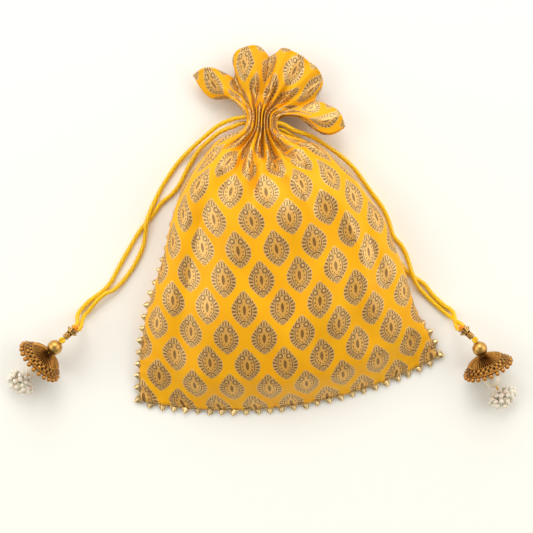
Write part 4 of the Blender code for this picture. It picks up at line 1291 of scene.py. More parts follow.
    def build(self, name: str, finish: bpy.types.Material) -> bpy.types.Object:
        """Makes the panel as a thin closed sheet.

        Args:
            name: the object's name.
            finish: its material.
        Returns:
            The object, riding the pouch and standing for its solid.
        """
        outer, place = self.outer()
        if self.side is Side.FRONT:
            outer = self.folded(outer, place)
        outer = self.puckered(self.eased(outer), place)
        pattern = self.pattern(outer, place)
        inner = outer - self.normals(outer) * self.detail.thickness
        inner[..., 2] = np.maximum(inner[..., 2], self.detail.above_table)
        rows, columns = outer.shape[:2]
        face = grid_faces(rows, columns)
        top, low = (face, face[:, ::-1]) if self.side is Side.FRONT else (face[:, ::-1], face)
        number = np.arange(rows * columns).reshape(rows, columns)
        rim = np.concatenate([number[0, :-1], number[:-1, -1], number[-1, :0:-1], number[:0:-1, 0]])
        after, shift = np.roll(rim, -1), rows * columns
        wall = np.stack([after, rim, rim + shift, after + shift], -1)
        wall = wall if self.side is Side.FRONT else wall[:, ::-1]
        points = np.concatenate([outer.reshape(-1, 3), inner.reshape(-1, 3)])
        both = np.concatenate([pattern.reshape(-1, 2)] * 2)
        made = Surface(points, np.vstack([top, low + shift, wall]), both).build(name, finish)
        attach(made, "pouch")
        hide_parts(f"{self.side.name.lower()}_panel")
        f"brocade_{self.side.name.lower()}"
        return made


# The lace


@dataclass(frozen=True)
class GotaSizes:
    """The lace's sizes in metres."""

    pitch: float = 8.1 * MM
    point: float = 5.0 * MM
    band: float = 0.6 * MM
    half_width: float = 3.9 * MM
    tape_inside: float = 2.0 * MM
    tape_under_points: float = 0.6 * MM
    puff: float = 1.0 * MM


class GotaLace:
    """A tape with a row of gota: short ribbons folded to pointed cones.

    HANG is how far the points hang down, in degrees, by share of the way round from the top left.
    """

    HANG: Stations = ((0, 62), (0.12, 36), (0.22, 8), (0.30, 0), (0.735, 0), (0.755, 55), (0.78, 84), (1, 88))

    def __init__(self, cloth: PouchCloth, sizes: GotaSizes) -> None:
        """Keeps the cloth whose seam it follows and its sizes.

        Args:
            cloth: the pouch's rows.
            sizes: the lace's sizes.
        """
        self.cloth, self.sizes = cloth, sizes

    def seam(self) -> Array:
        """Follows the seam down the left side, along the bottom and up the right.

        Returns:
            Points along the seam.
        """
        size = self.cloth.sizes

        def up_side(shares: Array, left: bool) -> Array:
            """Follows one side's seam.

            Args:
                shares: places up the body, from 0 to 1.
                left: whether it is the left side.
            Returns:
                The seam's points, set in by the tuck.
            """
            found = []
            for t in shares:
                ends = self.cloth.chord(t)
                way = unit(ends[1] - ends[0])
                tuck = float(self.cloth.tuck(np.array(-1.0 if left else 1.0), t))
                plan = ends[0 if left else 1] - tuck * way
                found.append((*plan, size.seam_height * follow(self.cloth.SEAM, t)))
            return np.array(found)

        left, right = self.cloth.chord(0)
        share = np.linspace(-1, 1, 81)
        half = np.linalg.norm(right - left) / 2
        height = np.full_like(share, size.seam_height * follow(self.cloth.SEAM, 0))
        bottom = PouchCloth(size, 80).laid(left, right, share * half, height, 0)
        sides = np.linspace(0, 0.8, 60)
        return np.vstack([up_side(sides[::-1], True)[:-1], bottom[:-1], up_side(sides, False)])

    def point(self) -> Surface:
        """One folded point, lying along +Y from its root.

        Returns:
            A closed leaf: at share s out its half width falls as (1 - s) ^ 0.95, and its top is two
            slopes that meet in a crest with a pressed crease at each side.
        """
        size = self.sizes
        rows, columns = 12, 20
        s = np.linspace(0, 0.985, rows)[:, None]
        turn = 2 * math.pi * np.arange(columns)[None, :] / columns
        half = size.half_width * (1 - s) ** 0.95
        x = half * np.cos(turn)
        creases = 0.55 + 0.45 * np.cos(3 * math.pi * x / size.half_width)
        crest = np.clip(1 - np.abs(x) / size.half_width, 0, 1) * creases
        swell = size.puff * np.sin(math.pi * np.clip(0.18 + 0.8 * s, 0, 1))
        body = swell * np.sign(np.sin(turn)) * np.abs(np.sin(turn)) ** 0.6
        z = body * (0.45 + 0.9 * crest)
        y = size.band + size.point * s + 0 * x
        # Painted shade: darker away from the crest and toward the tip.
        hollow = np.clip(1 - 1.6 * crest, 0, 1) * (0.5 + 0.5 * s) + 0 * x
        faces = grid_faces(rows, columns, False, True)[:, ::-1]
        return Surface(np.stack([x, y, z], -1).reshape(-1, 3), faces, None, hollow.ravel())

    def build(self, name: str, finish: bpy.types.Material) -> bpy.types.Object:
        """Makes the lace.

        Args:
            name: the object's name.
            finish: its material.
        Returns:
            The object, riding the pouch and standing for its solid.
        """
        size = self.sizes
        path = self.seam()
        along = np.concatenate([[0], np.cumsum(np.linalg.norm(np.diff(path, axis=0), axis=1))])
        count = int(round(along[-1] / size.pitch))
        stops = np.linspace(0, along[-1], 2 * count + 1)
        seam = np.column_stack([np.interp(stops, along, path[:, k]) for k in range(3)])
        way = np.gradient(seam, axis=0)
        out = unit(np.column_stack([way[:, 1], -way[:, 0], np.zeros(len(way))]))
        along_way = unit(np.column_stack([-out[:, 1], out[:, 0], np.zeros(len(way))]))
        up = np.tile((0.0, 0.0, 1.0), (len(way), 1))
        draw = np.random.default_rng(11)
        turn = draw.normal(0, 0.10, count)[:, None]
        hang = np.radians(follow(self.HANG, (np.arange(count) + 0.5) / count))[:, None]
        dip = draw.normal(0, 0.10, count)[:, None]
        x, y, z = along_way[1::2], out[1::2], up[1::2]
        y = unit(y * np.cos(hang) - z * np.sin(hang) + turn * x + dip * z)
        z = unit(np.cross(x, y))
        x = unit(np.cross(y, z))
        frames = np.stack([x, y, np.cross(x, y)], -1)
        points = self.point().repeated(frames, seam[1::2], draw.uniform(0.92, 1.06, count))
        inside, outside = seam - out * size.tape_inside, seam + out * (size.band + size.tape_under_points)
        lift = up * self.cloth.sizes.tape / 2
        tape = np.stack([inside + lift, outside + lift, outside - lift, inside - lift], 1)
        faces = grid_faces(len(tape), 4, False, True)
        ends = np.array([[3, 2, 1, 0], np.arange(4) + 4 * (len(tape) - 1)])
        # The tape gets an even half painted shade.
        band = Surface(tape.reshape(-1, 3), np.vstack([faces, ends]), None, np.full(tape.size // 3, 0.5))
        points.points[:, 2] = np.maximum(points.points[:, 2], 0.1 * MM)
        made = Surface.joined([points, band]).build(name, finish)
        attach(made, "pouch")
        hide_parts("edge_lace")
        return made


# The strings and the tassels


class Hand(Enum):
    """Which side of the bag a string leaves it on."""

    LEFT = -1
    RIGHT = 1


@dataclass(frozen=True)
class TasselLayout:
    """Where one string and its tassel lie, in millimetres."""

    upper: tuple[tuple[float, float, float], ...]
    lower: tuple[tuple[float, float, float], ...]
    bead: tuple[float, float]
    opens: tuple[float, float]
    trail: tuple[float, float]
    pearl: tuple[float, float]
    cluster: tuple[float, float]


LAYOUTS = {
    Hand.LEFT: TasselLayout(
        upper=((-38.8, 76.4, 11.5), (-48.0, 72.2, 9.5), (-59.8, 62.8, 6.0), (-67.8, 55.7, 3.5),
               (-76.0, 46.9, 1.8), (-85.4, 32.8, 1.6), (-90.8, 22.3, 1.6), (-94.6, 13.6, 3.2),
               (-96.6, 7.0, 4.8), (-97.6, -1.4, 2.6), (-99.6, -10.5, 1.6), (-105.1, -22.1, 1.6),
               (-111.8, -31.7, 1.7), (-118.5, -38.6, 3.0), (-125.2, -42.0, 4.8), (-130.6, -46.8, 4.4),
               (-134.6, -51.6, 3.2), (-139.6, -57.6, 3.6)),
        lower=((-36.9, 72.0, 11.0), (-45.7, 68.6, 9.0), (-53.5, 63.0, 6.5), (-60.8, 56.3, 4.2),
               (-66.2, 48.2, 2.4), (-70.2, 41.0, 1.6), (-74.2, 33.2, 1.6), (-79.6, 26.4, 1.6),
               (-86.8, 20.2, 1.6), (-93.0, 11.6, 1.6), (-101.2, 1.6, 1.6), (-108.4, -10.5, 1.6),
               (-115.2, -22.6, 1.6), (-120.4, -32.4, 1.6), (-124.8, -38.0, 1.6), (-130.0, -42.4, 1.7),
               (-136.9, -47.7, 2.2), (-143.4, -55.6, 3.8)),
        bead=(-156.5, -77.2), opens=(-0.74, -0.67), trail=(0.72, 0.69),
        pearl=(-173.2, -92.6), cluster=(-182.0, -102.0),
    ),
    Hand.RIGHT: TasselLayout(
        upper=((4.6, 69.3, 11.0), (15.6, 65.6, 9.5), (27.6, 58.4, 7.5), (37.2, 51.6, 5.4),
               (45.8, 43.6, 3.6), (52.6, 34.6, 2.4), (58.6, 26.3, 1.7), (64.9, 17.6, 1.6),
               (69.0, 8.9, 1.6), (72.6, -2.0, 1.6), (77.9, -8.4, 1.6), (81.4, -15.2, 1.7),
               (83.6, -22.6, 3.0), (85.6, -29.4, 4.8), (88.6, -35.8, 3.4), (94.9, -42.9, 1.7),
               (104.0, -51.4, 1.7), (110.6, -57.0, 2.8)),
        lower=((4.6, 65.4, 7.4), (13.6, 60.4, 5.6), (23.6, 53.6, 5.2), (32.6, 46.8, 3.2),
               (41.0, 38.8, 1.8), (48.4, 29.6, 1.6), (55.2, 19.4, 1.6), (61.2, 8.0, 1.6),
               (65.8, -2.6, 1.6), (70.4, -9.8, 1.6), (75.0, -17.6, 1.6), (80.8, -25.2, 1.6),
               (87.4, -30.6, 1.6), (94.0, -35.4, 1.6), (99.2, -42.0, 1.6), (106.4, -49.0, 1.7),
               (113.2, -54.4, 2.8)),
        bead=(128.6, -78.2), opens=(0.42, -0.91), trail=(-0.72, 0.69),
        pearl=(139.2, -100.4), cluster=(146.6, -112.0),
    ),
}


@dataclass(frozen=True)
class StringSizes:
    """The strings' and tassels' sizes in metres."""

    cord: float = 3.0 * MM
    cord_lay: float = 11.0 * MM
    loop_radius: float = 6.8 * MM
    loop_drawn_in: float = 1.5 * MM
    loop_pitch: float = 3.8 * MM
    loop_exit: float = 1.35 * MM
    thread: float = 1.4 * MM
    thread_lay: float = 2.4 * MM
    gap: float = 0.6 * MM
    whipping: float = 3.2 * MM
    whipping_turns: int = 7
    whipping_width: float = 7.0 * MM
    whipping_height: float = 4.2 * MM
    cap: float = 2.6 * MM
    cap_petals: int = 10
    cap_diameter: float = 8.0 * MM
    ring: float = 3.6 * MM
    ring_diameter: float = 4.8 * MM
    knot: float = 3.4 * MM
    knot_diameter: float = 4.0 * MM
    bead: float = 10.0 * MM
    bell_rim: float = 32.2 * MM
    bell_height: float = 9.5 * MM
    bell_ball: float = 3.2 * MM
    bell_balls: int = 22
    bell_ribs: int = 44
    bell_steps_a_rib: int = 12
    bell_fullness: float = 0.93
    bell_ring_row: float = 0.90
    pearl: float = 11.0 * MM
    cluster: tuple[float, float, float] = (13.0 * MM, 18.5 * MM, 15.0 * MM)
    seed_pearl: float = 3.5 * MM
    seed_count: int = 46
    lean: float = math.radians(14.0)
    dips: tuple[float, ...] = (-3.0, 16.0, 32.0, 40.0)


class TasselLine:
    """Where the pieces of one tassel lie along its thread."""

    def __init__(self, layout: TasselLayout, sizes: StringSizes) -> None:
        """Works the places out.

        Args:
            layout: where the tassel lies.
            sizes: its pieces' sizes.
        """
        opens = unit(np.array(layout.opens))
        lean = sizes.lean
        self.sizes = sizes
        self.axis = np.array((*(opens * math.cos(lean)), -math.sin(lean)))
        rim_radius = (sizes.bell_rim + sizes.bell_ball) / 2
        to_rim = sizes.bead / 2 + sizes.gap + sizes.bell_height
        height = rim_radius * math.cos(lean) + 0.1 * MM + to_rim * math.sin(lean)
        self.bead = np.array((*(np.array(layout.bead) * MM), height))
        self.apex = self.bead + self.axis * (sizes.bead / 2 + sizes.gap)
        self.places, self.ways, self.joints = [], [], []
        end = self.bead - self.axis * (sizes.bead / 2 + sizes.gap / 2)
        trail = unit(np.array(layout.trail))
        for length, dip in zip((sizes.knot, sizes.ring, sizes.cap, sizes.whipping), np.radians(sizes.dips)):
            way = np.array((*(trail * math.cos(dip)), -math.sin(dip)))
            self.joints.append(end)
            self.places.append(end + way * (sizes.gap + length) / 2)
            self.ways.append(way)
            end = end + way * (sizes.gap + length)
        self.pearl = np.array((*(np.array(layout.pearl) * MM), sizes.pearl / 2 + 0.1 * MM))
        self.cluster = np.array((*(np.array(layout.cluster) * MM), sizes.cluster[2] / 2 + 0.1 * MM))
        self.pearl_way = unit(self.cluster - self.pearl)

    def strand_ends(self) -> tuple[Array, Array]:
        """Where the string's two ends run up to the whipping, side by side.

        Returns:
            For each strand an approach point and its end, which sinks into the whipping.
        """
        way, sizes = self.ways[-1], self.sizes
        side = unit(np.cross(way, (0, 0, 1)))
        end = self.places[-1] + way * (sizes.whipping / 2 - 1.2 * MM)
        apart = side * (sizes.cord + 0.3 * MM) / 2
        run = way * 1.5 * sizes.cord
        return np.array((end + apart + run, end + apart)), np.array((end - apart + run, end - apart))

    def thread_path(self) -> Array:
        """The thread from the whipping through every bead into the cluster.

        Returns:
            Points along it.
        """
        sizes = self.sizes
        start = self.places[-1] + self.ways[-1] * sizes.whipping / 2
        entry = self.pearl - self.pearl_way * sizes.pearl / 2
        end = self.cluster - self.pearl_way * sizes.cluster[0] * 0.25
        chain = [start, *self.joints[::-1], self.bead, self.apex, self.apex + self.axis * 0.8 * sizes.bell_height]
        chain += [entry - self.pearl_way * 2 * MM, entry, self.pearl, end]
        return smooth_path(np.array(chain), 0.5 * MM)


class Strand:
    """One visible strand of a string, from the far side of the neck to the whipping."""

    def __init__(self, hand: Hand, upper: bool, pouch: PouchSizes, sizes: StringSizes) -> None:
        """Keeps which strand it is.

        Args:
            hand: the side that the string leaves the bag on.
            upper: whether it is the loop's upper strand.
            pouch: the cloth's sizes, for the neck.
            sizes: the strings' sizes.
        """
        self.hand, self.upper, self.pouch, self.sizes = hand, upper, pouch, sizes

    def neck(self) -> Array:
        """The strand's half of the loop in the casing.

        Returns:
            Points from the ring's far side to where the strand leaves the casing.
        """
        side, size = self.hand.value, self.sizes
        turn = np.radians(np.linspace(0, 120, 9))
        sign = 1 if self.upper else -1
        level = self.pouch.neck_y - side * (size.loop_pitch / 2 + 0.2 * MM)
        reach = size.loop_radius - size.loop_drawn_in
        x = self.pouch.neck_x - side * reach * np.cos(turn)
        z = self.pouch.seam_height + sign * reach * np.sin(turn)
        y = level + sign * 0.5 * size.loop_pitch * np.linspace(0, 1, 9)
        out = self.pouch.neck_x + side * (self.pouch.neck_width / 2 + 1 * MM)
        last = (out, y[-1], self.pouch.seam_height + sign * size.loop_exit)
        return np.vstack([np.column_stack([x, y, z]), last])

    def path(self) -> Array:
        """The strand's whole line.

        Returns:
            Evenly spaced points from inside the neck to the whipping.
        """
        layout = LAYOUTS[self.hand]
        ends = TasselLine(layout, self.sizes).strand_ends()[0 if self.upper else 1]
        route = np.array(layout.upper if self.upper else layout.lower) * MM
        return smooth_path(np.vstack([self.neck(), route, ends]), 0.45 * MM)

    def build(self, name: str, finish: bpy.types.Material) -> bpy.types.Object:
        """Makes the strand: a satin cord of three soft lobes laid round each other.

        At angle a and length z its radius swells as |cos(1.5 (a - 2 pi z / lay))|, with a slow waver.

        Args:
            name: the object's name.
            finish: its material.
        Returns:
            The object, riding the pouch and standing for its side's solid string.
        """
        path = self.path()
        along = np.linspace(0, length_of(path), len(path))[:, None]
        turn = 2 * math.pi * np.arange(18) / 18
        lobes = np.abs(np.cos(1.5 * (turn[None, :] - 2 * math.pi * along / self.sizes.cord_lay)))
        waver = 1 + 0.05 * np.sin(along / (4.1 * MM)) * np.sin(along / (13.0 * MM))
        radius = self.sizes.cord / 2 * (0.88 + 0.16 * lobes) * waver
        made = swept(path, radius, turn).build(name, finish)
        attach(made, "pouch")
        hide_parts(f"{self.hand.name.lower()}_drawstring")
        return made


@dataclass
class Finishes:
    """Every material the pieces share."""

    cord: bpy.types.Material
    whipping: bpy.types.Material
    thread: bpy.types.Material
    brass: bpy.types.Material
    bead: bpy.types.Material
    bell: bpy.types.Material
    pearl: bpy.types.Material
    seed: bpy.types.Material


class Tassel:
    """One string's tassel, piece by piece."""

    def __init__(self, hand: Hand, sizes: StringSizes, finishes: Finishes) -> None:
        """Works out where the pieces lie.

        Args:
            hand: the side of the bag.
            sizes: the pieces' sizes.
            finishes: their materials.
        """
        self.hand, self.sizes, self.finishes = hand, sizes, finishes
        self.line = TasselLine(LAYOUTS[hand], sizes)
        self.name = hand.name.lower()

    def placed(
        self, surface: Surface, piece: str, finish: bpy.types.Material, body: str = "pouch"
    ) -> bpy.types.Object:
        """Builds a piece, sets it on its body and lets it stand for its solid.

        Args:
            surface: its points and faces.
            piece: the CAD node's name without its side.
            finish: its material.
            body: the body that it rides.
        Returns:
            The object.
        """
        node = f"{self.name}_{piece}"
        made = surface.build(f"{node}_detail", finish)
        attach(made, body)
        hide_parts(node)
        return made

    def whipping(self) -> None:
        """Round turns of silk, pressed oval by the two strands that they bind.

        The radius swells as |sin(turns pi s)| ^ 0.7 along it, and the section is an ellipse.
        """
        size, way = self.sizes, self.line.ways[3]
        half, columns = size.whipping / 2, 48
        s = np.linspace(0, 1, 57)
        outer_z = -half + size.whipping * s
        coil = np.abs(np.sin(size.whipping_turns * math.pi * s)) ** 0.7
        outer = size.whipping_width * (0.445 + 0.045 * coil)
        along = np.concatenate([outer_z, [half, -half]])
        radius = np.concatenate([outer, [1.0 * MM, 1.0 * MM]])
        angle = 2 * math.pi * np.arange(columns)[:, None] / columns
        low = size.whipping_height / size.whipping_width
        press = 1 / np.sqrt((np.cos(angle) / low) ** 2 + np.sin(angle) ** 2)
        radius = np.where(radius > 1.5 * MM, radius * press, radius)
        surface = turned(radius, along, columns, along_axis(self.line.places[3], way))
        pattern = np.zeros((len(surface.points), 2))
        pattern[:, 0] = np.tile(np.arange(len(along)) * 0.2, columns)
        pattern[:, 1] = np.repeat(np.arange(columns) / columns, len(along))
        surface.pattern = pattern
        self.placed(surface, "cord_whipping", self.finishes.whipping)

    def cap(self) -> None:
        """A bead cap of rounded petals that flare over the whipping's end.

        Its radius grows as s ^ 1.5, and it waves as cos(petals a) times s squared.
        """
        size, way = self.sizes, self.line.ways[2]
        half, columns = size.cap / 2, 80
        s = np.linspace(0, 1, 22)
        angle = 2 * math.pi * np.arange(columns)[:, None] / columns
        wave = np.cos(size.cap_petals * angle)
        flare = 0.28 + 0.22 * s**1.5
        petal = 1 + (0.11 * wave - 0.02) * s**2
        outer = size.cap_diameter * flare * petal
        z_outer = -half + size.cap * s * (1 + 0.10 * wave * s**3)
        wall = 0.45 * MM
        radius = np.hstack([outer, np.maximum(outer[:, ::-1] - wall, 1.0 * MM)])
        along = np.hstack([z_outer, z_outer[:, ::-1] + 0.15 * MM])
        surface = turned(radius, along, columns, along_axis(self.line.places[2], way))
        # Painted shade in the grooves between the petals, growing toward the flared edge, and nearly full on the
        # inside.
        groove = np.clip(0.5 - 0.6 * wave, 0, 1) * s
        surface.hollow = np.hstack([groove, np.full_like(groove, 0.9)]).ravel()
        self.placed(surface, "bead_cap", self.finishes.brass)

    def ring(self) -> None:
        """A ring bead of three rims, with a fine twist between them.

        Its radius follows |cos(3 pi (s - 1 / 6))|, and the twist is cos(14 a + 9 s).
        """
        size, way, columns = self.sizes, self.line.ways[1], 64
        s = np.linspace(0, 1, 45)
        angle = 2 * math.pi * np.arange(columns)[:, None] / columns
        rims = np.abs(np.cos(3 * math.pi * (s - 1 / 6)))
        radius = size.ring_diameter * (0.39 + 0.11 * rims + 0.014 * np.cos(14 * angle + 9 * s) * (1 - rims))
        along = -size.ring / 2 + size.ring * s
        radius = np.hstack([radius, np.full((columns, 2), 1.0 * MM)])
        along = np.concatenate([along, [size.ring / 2, -size.ring / 2]])
        surface = turned(radius, along, columns, along_axis(self.line.places[1], way))
        # Painted shade between the three rims and full shade at the hole's ends.
        surface.hollow = np.tile(np.concatenate([np.clip(0.9 - 1.4 * rims, 0, 1), [1, 1]]), columns)
        self.placed(surface, "ring_bead", self.finishes.brass)

    def knot(self) -> None:
        """A small overhand knot of the thread.

        Its line is the trefoil (sin t + 0.9 sin 2t, cos t - 0.9 cos 2t, -sin 3t).
        """
        size, steps, columns, ply = self.sizes, 220, 14, 0.85 * MM
        turn = np.linspace(0, 2 * math.pi, steps)
        reach = size.knot_diameter / 2 - 0.75 * MM
        local = np.column_stack([
            reach * (np.sin(turn) + 0.9 * np.sin(2 * turn)) / 1.5,
            reach * (np.cos(turn) - 0.9 * np.cos(2 * turn)) / 1.5,
            -0.30 * size.knot * np.sin(3 * turn),
        ])
        frame_axes, origin = along_axis(self.line.places[0], self.line.ways[0])
        path = local @ frame_axes.T + origin
        around = 2 * math.pi * np.arange(columns) / columns
        surface = swept(path[:-1], np.full((steps - 1, columns), ply), around)
        self.placed(surface, "stop_knot", self.finishes.cord)

    def bored(self, radius: float, centre: Array, axis: Array) -> Surface:
        """A round bead with a small hole along its axis: a half circle cut off at the hole, turned.

        Args:
            radius: its radius.
            centre: its middle.
            axis: its hole's direction.
        Returns:
            The closed bead.
        """
        rows, columns = 41, 72
        edge = math.acos(1.1 * MM / radius)
        lift = np.linspace(-edge, edge, rows)
        profile_r = np.concatenate([radius * np.cos(lift), [0.85 * MM, 0.85 * MM]])
        profile_z = np.concatenate([radius * np.sin(lift), [radius * 0.93, -radius * 0.93]])
        surface = turned(profile_r, profile_z, columns, along_axis(centre, axis))
        # Painted shade in the hole at each end, none on the round body.
        surface.hollow = np.tile(np.concatenate([np.zeros(rows), [0.8, 0.8]]), columns)
        return surface

    def bell(self) -> None:
        """A bell cap: fine wire ribs, a band of little rings, and a rim of round balls.

        The dome's profile is an arc of a circle. At angle a and share s the wires stand out as
        (0.5 + 0.5 cos(ribs a)) ^ 1.3 down to the band, the band's rings as cos(balls a) sin(2 pi s'),
        with s' the share of the band, and three thin bands run round.
        """
        size = self.sizes
        rim = size.bell_rim / 2
        frame_at = along_axis(self.line.apex, self.line.axis)
        columns = size.bell_ribs * size.bell_steps_a_rib
        angle = 2 * math.pi * np.arange(columns)[:, None] / columns
        s = np.linspace(0.062, 0.965, 64)

        def dropped(share: Array | float) -> Array | float:
            """Reads the dome's profile.

            Args:
                share: how far out the place lies, as a share of the rim's radius.
            Returns:
                How far it lies below the top, as a share of the bell's height: an arc of a circle.
            """
            full = size.bell_fullness
            return (1 - np.sqrt(1 - (full * share) ** 2)) / (1 - math.sqrt(1 - full**2))

        drop = dropped(s)
        wander = 0.35 * np.sin(5 * angle) * np.sin(9 * s)
        wire = (0.5 + 0.5 * np.cos(size.bell_ribs * angle + wander)) ** 1.3
        rib = wire * ease((s - 0.07) / 0.1) * (1 - ease((s - 0.70) / 0.04))
        turns = np.cos(size.bell_balls * angle) * np.sin((s - 0.73) / 0.18 * 2 * math.pi)
        loops = (0.5 + 0.5 * turns) * ease((s - 0.72) / 0.03) * (1 - ease((s - 0.93) / 0.03))
        bands = sum(np.exp(-(((s - at) / 0.013) ** 2)) for at in (0.10, 0.715, 0.945))
        relief = 0.85 * MM * rib + 0.8 * MM * loops + 0.6 * MM * bands - 0.4 * MM
        slope = np.arctan2(np.gradient(drop * size.bell_height), np.gradient(s * rim))
        outer_r = s * rim + relief * np.sin(slope)
        outer_z = drop * size.bell_height - relief * np.cos(slope) + 0 * angle
        inner_r = np.maximum(s * rim - 0.5 * MM * np.sin(slope), 0.95 * MM) + 0 * angle
        inner_z = drop * size.bell_height + 0.75 * MM * np.cos(slope) + 0 * angle
        radius = np.hstack([outer_r, inner_r[:, ::-1]])
        along = np.hstack([outer_z, inner_z[:, ::-1]])
        dome = turned(radius, along, columns, frame_at)
        # Painted shade between the wires, the rings and the bands, deepest toward the top, and on the dome's whole
        # inside.
        deep = np.clip(1.3 - 0.25 * s - 1.2 * np.maximum(np.maximum(rib, loops), bands + 0 * angle), 0, 1)
        dome.hollow = np.hstack([deep, np.full_like(deep, 0.85)]).ravel()
        turn, apex = frame_at
        around = 2 * math.pi * np.arange(size.bell_balls) / size.bell_balls
        local = np.column_stack([rim * np.cos(around), rim * np.sin(around), np.full_like(around, size.bell_height)])
        bead = ball(size.bell_ball / 2, 15, 20)
        bead.hollow = np.zeros(len(bead.points))
        frames = np.tile(np.eye(3), (size.bell_balls, 1, 1))
        balls = bead.repeated(frames, local @ turn.T + apex)
        grain = ball(0.62 * MM, 9, 12)
        # The grains between the balls get a light painted shade.
        grain.hollow = np.full(len(grain.points), 0.15)
        between = around + math.pi / size.bell_balls
        row = size.bell_ring_row * rim
        row_drop = float(dropped(size.bell_ring_row))
        local = np.column_stack([
            row * np.cos(between),
            row * np.sin(between),
            np.full_like(between, row_drop * size.bell_height - 0.4 * MM),
        ])
        grains = grain.repeated(frames, local @ turn.T + apex)
        cap = Surface.joined([dome, balls, grains])
        self.placed(cap, "bell_cap", self.finishes.bell, f"{self.name}_bell_cap")

    def cluster(self) -> None:
        """Seed pearls sewn close together over an egg-shaped core.

        Pearl k of n lies at height 1 - 2k / n on a sphere, turned by k golden angles, and the sphere
        is drawn out to the core's three half sizes.
        """
        size = self.sizes
        across = unit(np.cross((0, 0, 1), self.line.pearl_way))
        frame_axes = np.column_stack([self.line.pearl_way, across, np.cross(self.line.pearl_way, across)])
        half = np.array(size.cluster) / 2 - size.seed_pearl / 2 + np.array((1.0, 1.7, 0.4)) * MM
        draw = np.random.default_rng(5)

        def shell(count: int, share: float, shift: float) -> Array:
            """Spreads places over the core.

            Args:
                count: how many.
                share: the share of the core's full size that they lie at.
                shift: the angle that they start from.
            Returns:
                Their places round the core's middle, each moved a little at random.
            """
            k = np.arange(count) + 0.5
            up = 1 - 2 * k / count
            flat = np.sqrt(1 - up**2)
            turn = math.pi * (3 - math.sqrt(5)) * k + shift
            local = np.column_stack([up, flat * np.cos(turn), flat * np.sin(turn)]) * half * share
            return local + draw.normal(0, 0.45 * MM, (count, 3))

        local = np.vstack([shell(size.seed_count, 1.0, 0.0), shell(26, 0.58, 1.0)])
        places = local @ frame_axes.T + self.line.cluster
        places[:, 2] = np.maximum(places[:, 2], size.seed_pearl / 2 + 0.1 * MM)
        grain = ball(size.seed_pearl / 2, 13, 18)
        frames = np.tile(np.eye(3), (len(places), 1, 1))
        self.placed(
            grain.repeated(frames, places, draw.uniform(0.86, 1.05, len(places))),
            "pearl_cluster",
            self.finishes.seed,
        )

    def thread(self) -> None:
        """The stringing thread: two plies, whose radius swells as |cos(a - 2 pi z / lay)|."""
        path = self.line.thread_path()
        turn = 2 * math.pi * np.arange(12) / 12
        along = np.linspace(0, length_of(path), len(path))[:, None]
        lobes = np.abs(np.cos(turn[None, :] - 2 * math.pi * along / self.sizes.thread_lay))
        radius = self.sizes.thread / 2 * (0.72 + 0.28 * lobes)
        made = self.placed(swept(path, radius, turn), "tassel_thread", self.finishes.thread)

    def build(self) -> None:
        """Makes every piece of the tassel."""
        self.whipping()
        self.cap()
        self.ring()
        self.knot()
        line, size, name = self.line, self.sizes, self.name
        bead = self.bored(size.bead / 2, line.bead, line.axis)
        self.placed(bead, "gold_bead", self.finishes.bead, f"{name}_gold_bead")
        self.bell()
        pearl = self.bored(size.pearl / 2, line.pearl, line.pearl_way)
        self.placed(pearl, "large_pearl", self.finishes.pearl, f"{name}_large_pearl")
        self.cluster()
        self.thread()


# The whole pouch and the studio


class Pouch:
    """The bag with its lace, strings and tassels."""

    def build(self) -> None:
        """Makes every piece."""
        sizes, strings = PouchSizes(), StringSizes()
        brocade = SilkBrocade()
        Panel(Side.FRONT, sizes, PanelDetail()).build("front_cloth", brocade.material("silk_brocade_front"))
        back = PanelDetail(
            across=210,
            body_rows=80,
            neck_rows=12,
            frill_rows=44,
            pleats_from=0.45,
            pleats_over=0.45,
            pleat_crest=0.0,
            spread_valley=6.5 * MM,
            frill_calm=0.5,
        )
        Panel(Side.BACK, sizes, back).build("back_cloth", brocade.material("silk_brocade_back"))
        lace = AntiqueMetal(bright="#FFE0A0", dark="#6E3C12", roughness=0.34, grain=0.3).material("gota_ribbon")
        GotaLace(PouchCloth(sizes, 40), GotaSizes()).build("gota_lace", lace)
        cord = SatinCord().material("satin_cord")
        for hand in Hand:
            for upper in (True, False):
                name = f"{hand.name.lower()}_{'upper' if upper else 'lower'}_strand"
                Strand(hand, upper, sizes, strings).build(name, cord)
        finishes = Finishes(
            cord=cord,
            # With one float a turn and no slant, the whipping gets painted light on one side and painted shade on the
            # other.
            whipping=SatinCord(
                lit="#F79A0C", shade="#C66A06", floats_per_turn=1.0, slant=0.0, roughness=0.45
            ).material("orange_whipping"),
            thread=SatinCord(
                lit="#FFC81E", shade="#DE9410", floats_per_turn=2.0, slant=0.8, roughness=0.5
            ).material("stringing_thread"),
            brass=AntiqueMetal(bright="#D9AC62", dark="#4E2C10", roughness=0.26).material("antique_brass"),
            bead=AntiqueMetal(bright="#CDA056", dark="#5E3410", roughness=0.34).material("gold_bead_plate"),
            bell=AntiqueMetal(
                bright="#BC8540", dark="#1C0C05", roughness=0.24, grain=0.25
            ).material("bell_filigree"),
            pearl=CoatedPearl().material("coated_pearl"),
            seed=CoatedPearl(body="#F4E9D6", roughness=0.24).material("seed_pearls"),
        )
        for hand in Hand:
            Tassel(hand, strings, finishes).build()


@dataclass(frozen=True)
class SoftBox:
    """One square soft box: its place and side in metres, its power in watts and its colour."""

    name: str
    place: tuple[float, float, float]
    side: float
    power: float
    tint: str


